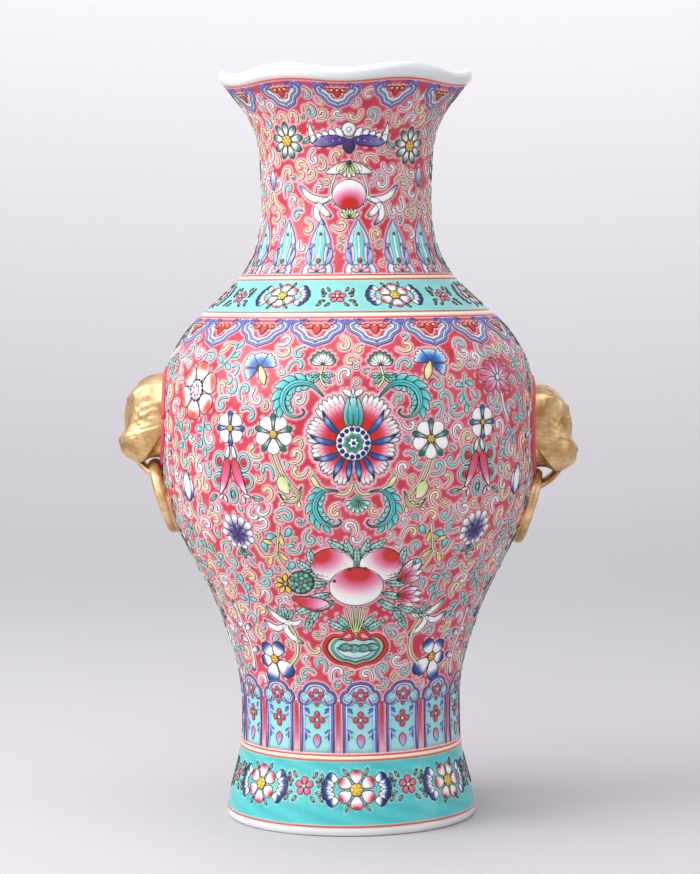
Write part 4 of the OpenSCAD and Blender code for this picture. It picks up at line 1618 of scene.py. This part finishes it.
def mask(side):
    """A domed head with a blunt muzzle, modelled from its own profile."""
    front = curve(MASK_PROFILE, 0.8)
    back = resample([MASK_PROFILE[-1], MASK_PROFILE[0]], 2.0)[1:-1]
    profile = np.vstack((front, back))
    rows, cols = len(profile), 80
    v = np.linspace(-86, 86, cols) * math.pi / 180
    reach = np.cos(v) ** 0.68
    x = BACK[0] + (profile[:, 0] - BACK[0])[:, None] * reach
    z = BACK[1] + (profile[:, 1] - BACK[1])[:, None] * reach ** 0.8
    y = MASK_W * np.sin(v)[None] * np.ones((rows, 1))
    rise = np.zeros_like(x)
    for fy, fz, wy, wz, amount in FEATURES:
        rise += amount * np.exp(-((np.abs(y) - fy) / wy) ** 2 - ((z - fz) / wz) ** 2)
    # combed hair on the cheek and tight curls in the mane
    turn = np.arctan2(z - 2, np.abs(y) - 4)
    hair = np.clip((np.abs(y) - 9) / 6, 0, 1) * np.clip((24 - z) / 10, 0, 1)
    rise += 0.15 * hair * np.sin(44 * turn + 0.35 * x)
    mane = np.clip((np.hypot(y * 1.25, z - 12) - 24) / 4, 0, 1)
    rise += 0.35 * mane * np.sin(1.1 * y) * np.sin(1.1 * z)
    out = np.clip((x - BACK[0] - 4) / 6, 0, 1)
    away_x, away_z = x - BACK[0], z - BACK[1]
    far = np.sqrt(away_x ** 2 + away_z ** 2 + (0.4 * y) ** 2) + 1e-6
    x = x + rise * out * away_x / far
    z = z + rise * out * away_z / far
    y = y + rise * out * 0.4 * y / far
    z = z + MUZZLE_Z[side]
    points = np.stack((x, y, z), -1).reshape(-1, 3)
    n = len(points)
    tips = [(BACK[0], y_tip, BACK[1] + MUZZLE_Z[side]) for y_tip in (-MASK_W, MASK_W)]
    faces = grid_faces(rows, cols, wrap_rows=True).tolist()
    for i in range(rows):
        i2 = (i + 1) % rows
        faces.append((i * cols, n, i2 * cols))
        faces.append((i * cols + cols - 1, i2 * cols + cols - 1, n + 1))
    on_side("gilt_mask", "mask", side, np.vstack((points, tips)), [f[::-1] for f in faces])


def bar(path, thick, wide, side, name, node):
    """A bar with rounded edges along a path in the x-z plane."""
    path = curve(path, 0.8)
    normal, _ = normals(path)
    t = np.linspace(0, 1, len(path))
    sides = 28
    a = np.linspace(0, 2 * math.pi, sides, endpoint=False)
    ca, sa = np.cos(a), np.sin(a)
    lift = np.sign(ca) * np.abs(ca) ** 0.8 * np.interp(t, *thick)[:, None]
    y = np.sign(sa) * np.abs(sa) ** 0.8 * np.interp(t, *wide)[:, None]
    x = path[:, :1] + normal[:, :1] * lift
    z = path[:, 1:] + normal[:, 1:] * lift + MUZZLE_Z[side]
    points = np.stack((x, y, z), -1).reshape(-1, 3)
    faces = grid_faces(len(path), sides, wrap_cols=True).tolist()
    faces += [tuple(range(sides)), tuple(len(points) - sides + k for k in range(sides))[::-1]]
    on_side(name, node, side, points, faces)


JAW = [(109.6, -24), (114, -23.8), (118.5, -22), (123, -19.2), (127, -16), (129.8, -13.2),
       (131, -11)]


def mock_ring(side):
    """The ring through the mouth, leaning back until its foot rests on the wall."""
    drop = 55.6            # lowest point of the ring's own line, under the muzzle
    off = 2.5              # and its distance from the wall
    lean = math.radians(17)
    big, small = 21.5, 2.5
    turns, sides = 120, 20
    z0 = MUZZLE_Z[side] - drop
    x0 = float(wall.r_at(wall.s_at(z0))) + off
    a, b = np.meshgrid(np.linspace(0, 2 * math.pi, turns, endpoint=False),
                       np.linspace(0, 2 * math.pi, sides, endpoint=False), indexing="ij")
    tube = small * (1 + 0.03 * np.sin(3 * a) + 0.015 * np.sin(11 * a + 2 * b))
    y = (big + tube * np.cos(b)) * np.sin(a)
    up = big - (big + tube * np.cos(b)) * np.cos(a)
    out = 1.45 * tube * np.sin(b)
    x = x0 + out * math.cos(lean) + up * math.sin(lean)
    z = z0 - out * math.sin(lean) + up * math.cos(lean)
    on_side("gilt_ring", "ring", side, np.stack((x, y, z), -1).reshape(-1, 3),
            grid_faces(turns, sides, True, True).tolist())


def luting(side):
    """The rose enamel that is banked up round a mask, and gold where the ring meets the wall."""
    theta = 90 if side == "right" else -90
    spot = Spot(theta, MUZZLE_Z[side] + 14)
    ring_pts = oval(0, 0, 28.0, 29.5, 6)
    bank = relief(f"luting_{side}", MAT_PAINT)
    stroke(bank, spot, ring_pts, 8.0, 1.5, -0.3, mix(ROSE, ROSE_PALE, 0.7), 0.45, False)
    note(spot, ring_pts, 2.4)
    cover(spot, ring_pts)
    spot = Spot(theta, MUZZLE_Z[side] - 34.0)
    a = np.radians(np.arange(186, 355, 4))
    seat = np.stack((21.5 * np.cos(a), 20.5 * np.sin(a)), -1)
    gilt = relief(f"ring_seat_{side}", MAT_GOLD, "gilding")
    width = 5 + 6.5 * np.sin((a - a[0]) / (a[-1] - a[0]) * math.pi)
    stroke(gilt, spot, seat, width, 1.9, SINK, CREAM, 0.5)
    note(spot, seat, 5.5)
    cover(spot, closed(seat))


def mount_masks():
    for side in MUZZLE_Z:
        mask(side)
        bar(JAW, ([0, 0.7, 1], [2.6, 2.3, 1.5]), ([0, 0.5, 1], [12.5, 11.5, 8]), side,
            "gilt_jaw", "jaw")
        mock_ring(side)


# ---------------------------------------------------------------- camera, light and floor

def aim(obj, target):
    obj.rotation_euler = (Vector(target) - obj.location).to_track_quat("-Z", "Y").to_euler()


def set_stage():
    """Camera level with the shoulder, a pale sweep, and soft light from the left."""
    scene = bpy.context.scene
    camera = bpy.data.cameras.new("camera")
    camera.sensor_width = 36
    camera.lens = 111.2
    eye = bpy.data.objects.new("camera", camera)
    scene.collection.objects.link(eye)
    place = (0.0010, -1.6676, 0.3313)
    pitch, roll = math.radians(3.33), math.radians(0.5)
    eye.matrix_world = (Matrix.Translation(place)
                        @ Matrix.Rotation(math.pi / 2 - pitch, 4, "X")
                        @ Matrix.Rotation(-roll, 4, "Z"))
    scene.camera = eye
    scene.view_settings.view_transform = "Standard"

    mat, tree, shader = new_material("paper_sweep")
    put(shader, Roughness=0.7)
    # painted light: the paper is painted lighter over the first metre above the floor, standing in for the
    # light that falls brighter on the sweep higher up
    parts = add(tree, "SeparateXYZ")
    tree.links.new(add(tree, "TexCoord").outputs["Object"], parts.inputs["Vector"])
    grade(tree, parts.outputs["Z"], rgb(199, 197, 200), rgb(236, 234, 237))
    # a round floor that curves up into the background on every side
    flat, bend, tall, sides = 3.2, 1.6, 4.2, 96
    profile = [(0.02, 0.0), (flat, 0.0)]
    profile += [(flat + bend * math.sin(a), bend - bend * math.cos(a))
                for a in np.linspace(0.1, math.pi / 2, 14)] + [(flat + bend, tall)]
    turns = np.linspace(0, 2 * math.pi, sides, endpoint=False)
    verts = [(x * math.sin(a), -x * math.cos(a), z) for x, z in profile for a in turns]
    faces = grid_faces(len(profile), sides, wrap_cols=True).tolist() + [tuple(range(sides))]
    mesh = bpy.data.meshes.new("sweep")
    mesh.from_pydata(verts, [], faces)
    mesh.polygons.foreach_set("use_smooth", np.ones(len(faces), bool))
    mesh.materials.append(mat)
    floor = bpy.data.objects.new("sweep", mesh)
    scene.collection.objects.link(floor)

    middle = (0, 0, 0.24)
    for name, place, size, power, target in (
            ("key_left", (-1.55, -0.65, 1.15), (1.4, 1.5), 28.5, middle),
            ("front", (-0.7, -2.3, 1.5), (1.4, 1.0), 14.5, middle),
            ("fill_right", (1.9, -0.5, 0.6), (0.7, 1.5), 4.2, middle),
            ("top", (-0.3, -0.2, 1.9), (2.0, 1.5), 19, middle),
            ("backdrop", (0.0, 2.2, 2.6), (4.0, 1.0), 55, (0, 4.8, 1.5))):
        light = bpy.data.lights.new(name, "AREA")
        light.shape = "RECTANGLE"
        light.size, light.size_y = size
        light.energy = power
        lamp = bpy.data.objects.new(name, light)
        lamp.location = place
        scene.collection.objects.link(lamp)
        aim(lamp, target)
    world = bpy.data.worlds.new("studio")
    world.use_nodes = True
    put(world.node_tree.nodes["Background"], Color=(*rgb(232, 230, 236), 1), Strength=0.69)
    scene.world = world


# ---------------------------------------------------------------- the whole vase

def paint_bands():
    ring_line("foot_red_line", MAT_CORAL, RIM_Z + 0.4, 1.3)
    double_line("foot_double", FOOT_LINE, 1.5)
    double_line("shoulder_double", SHOULDER_LINE, 1.6)
    double_line("neck_double", NECK_LINE, 1.3)
    ring_line("lip_red_line", MAT_CORAL, LIP_Z, 1.3)


def paint_vase():
    paint_bands()
    paint_borders()
    for side in MUZZLE_Z:
        luting(side)
    for face in (0, 180):
        paint_body(face)
        paint_neck(face)
        paint_side(face + 90)
    fill_sprigs(90, SHOULDER_LINE - 16, 2500)
    fill_scrolls(FOOT_LINE + 4, SHOULDER_LINE - 3, 9000, (7.2, 6.2, 5.4, 4.6, 3.9, 3.2),
                 ("white", "turquoise", "cream", "turquoise", "green"))
    fill_scrolls(NECK_LINE + 2, LIP_Z - 2, 3000, (6.4, 5.6, 4.8, 4.1, 3.4, 2.8),
                 ("white", "cream", "white", "cream", "green", "turquoise"))


paint_vase()
porcelain_body()
PITCH = 1.0
for k in range(SECTORS):
    ground_piece("ground_body", k, RIM_Z, NECK_LINE, PITCH)
    ground_piece("ground_neck", k, NECK_LINE, LIP_Z, PITCH)
build_reliefs()
mount_masks()
set_stage()

# the base floor keeps its own mesh, in the same glaze
floor_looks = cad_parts["base_floor"].data.materials
floor_looks.clear()
floor_looks.append(MAT_WHITE)
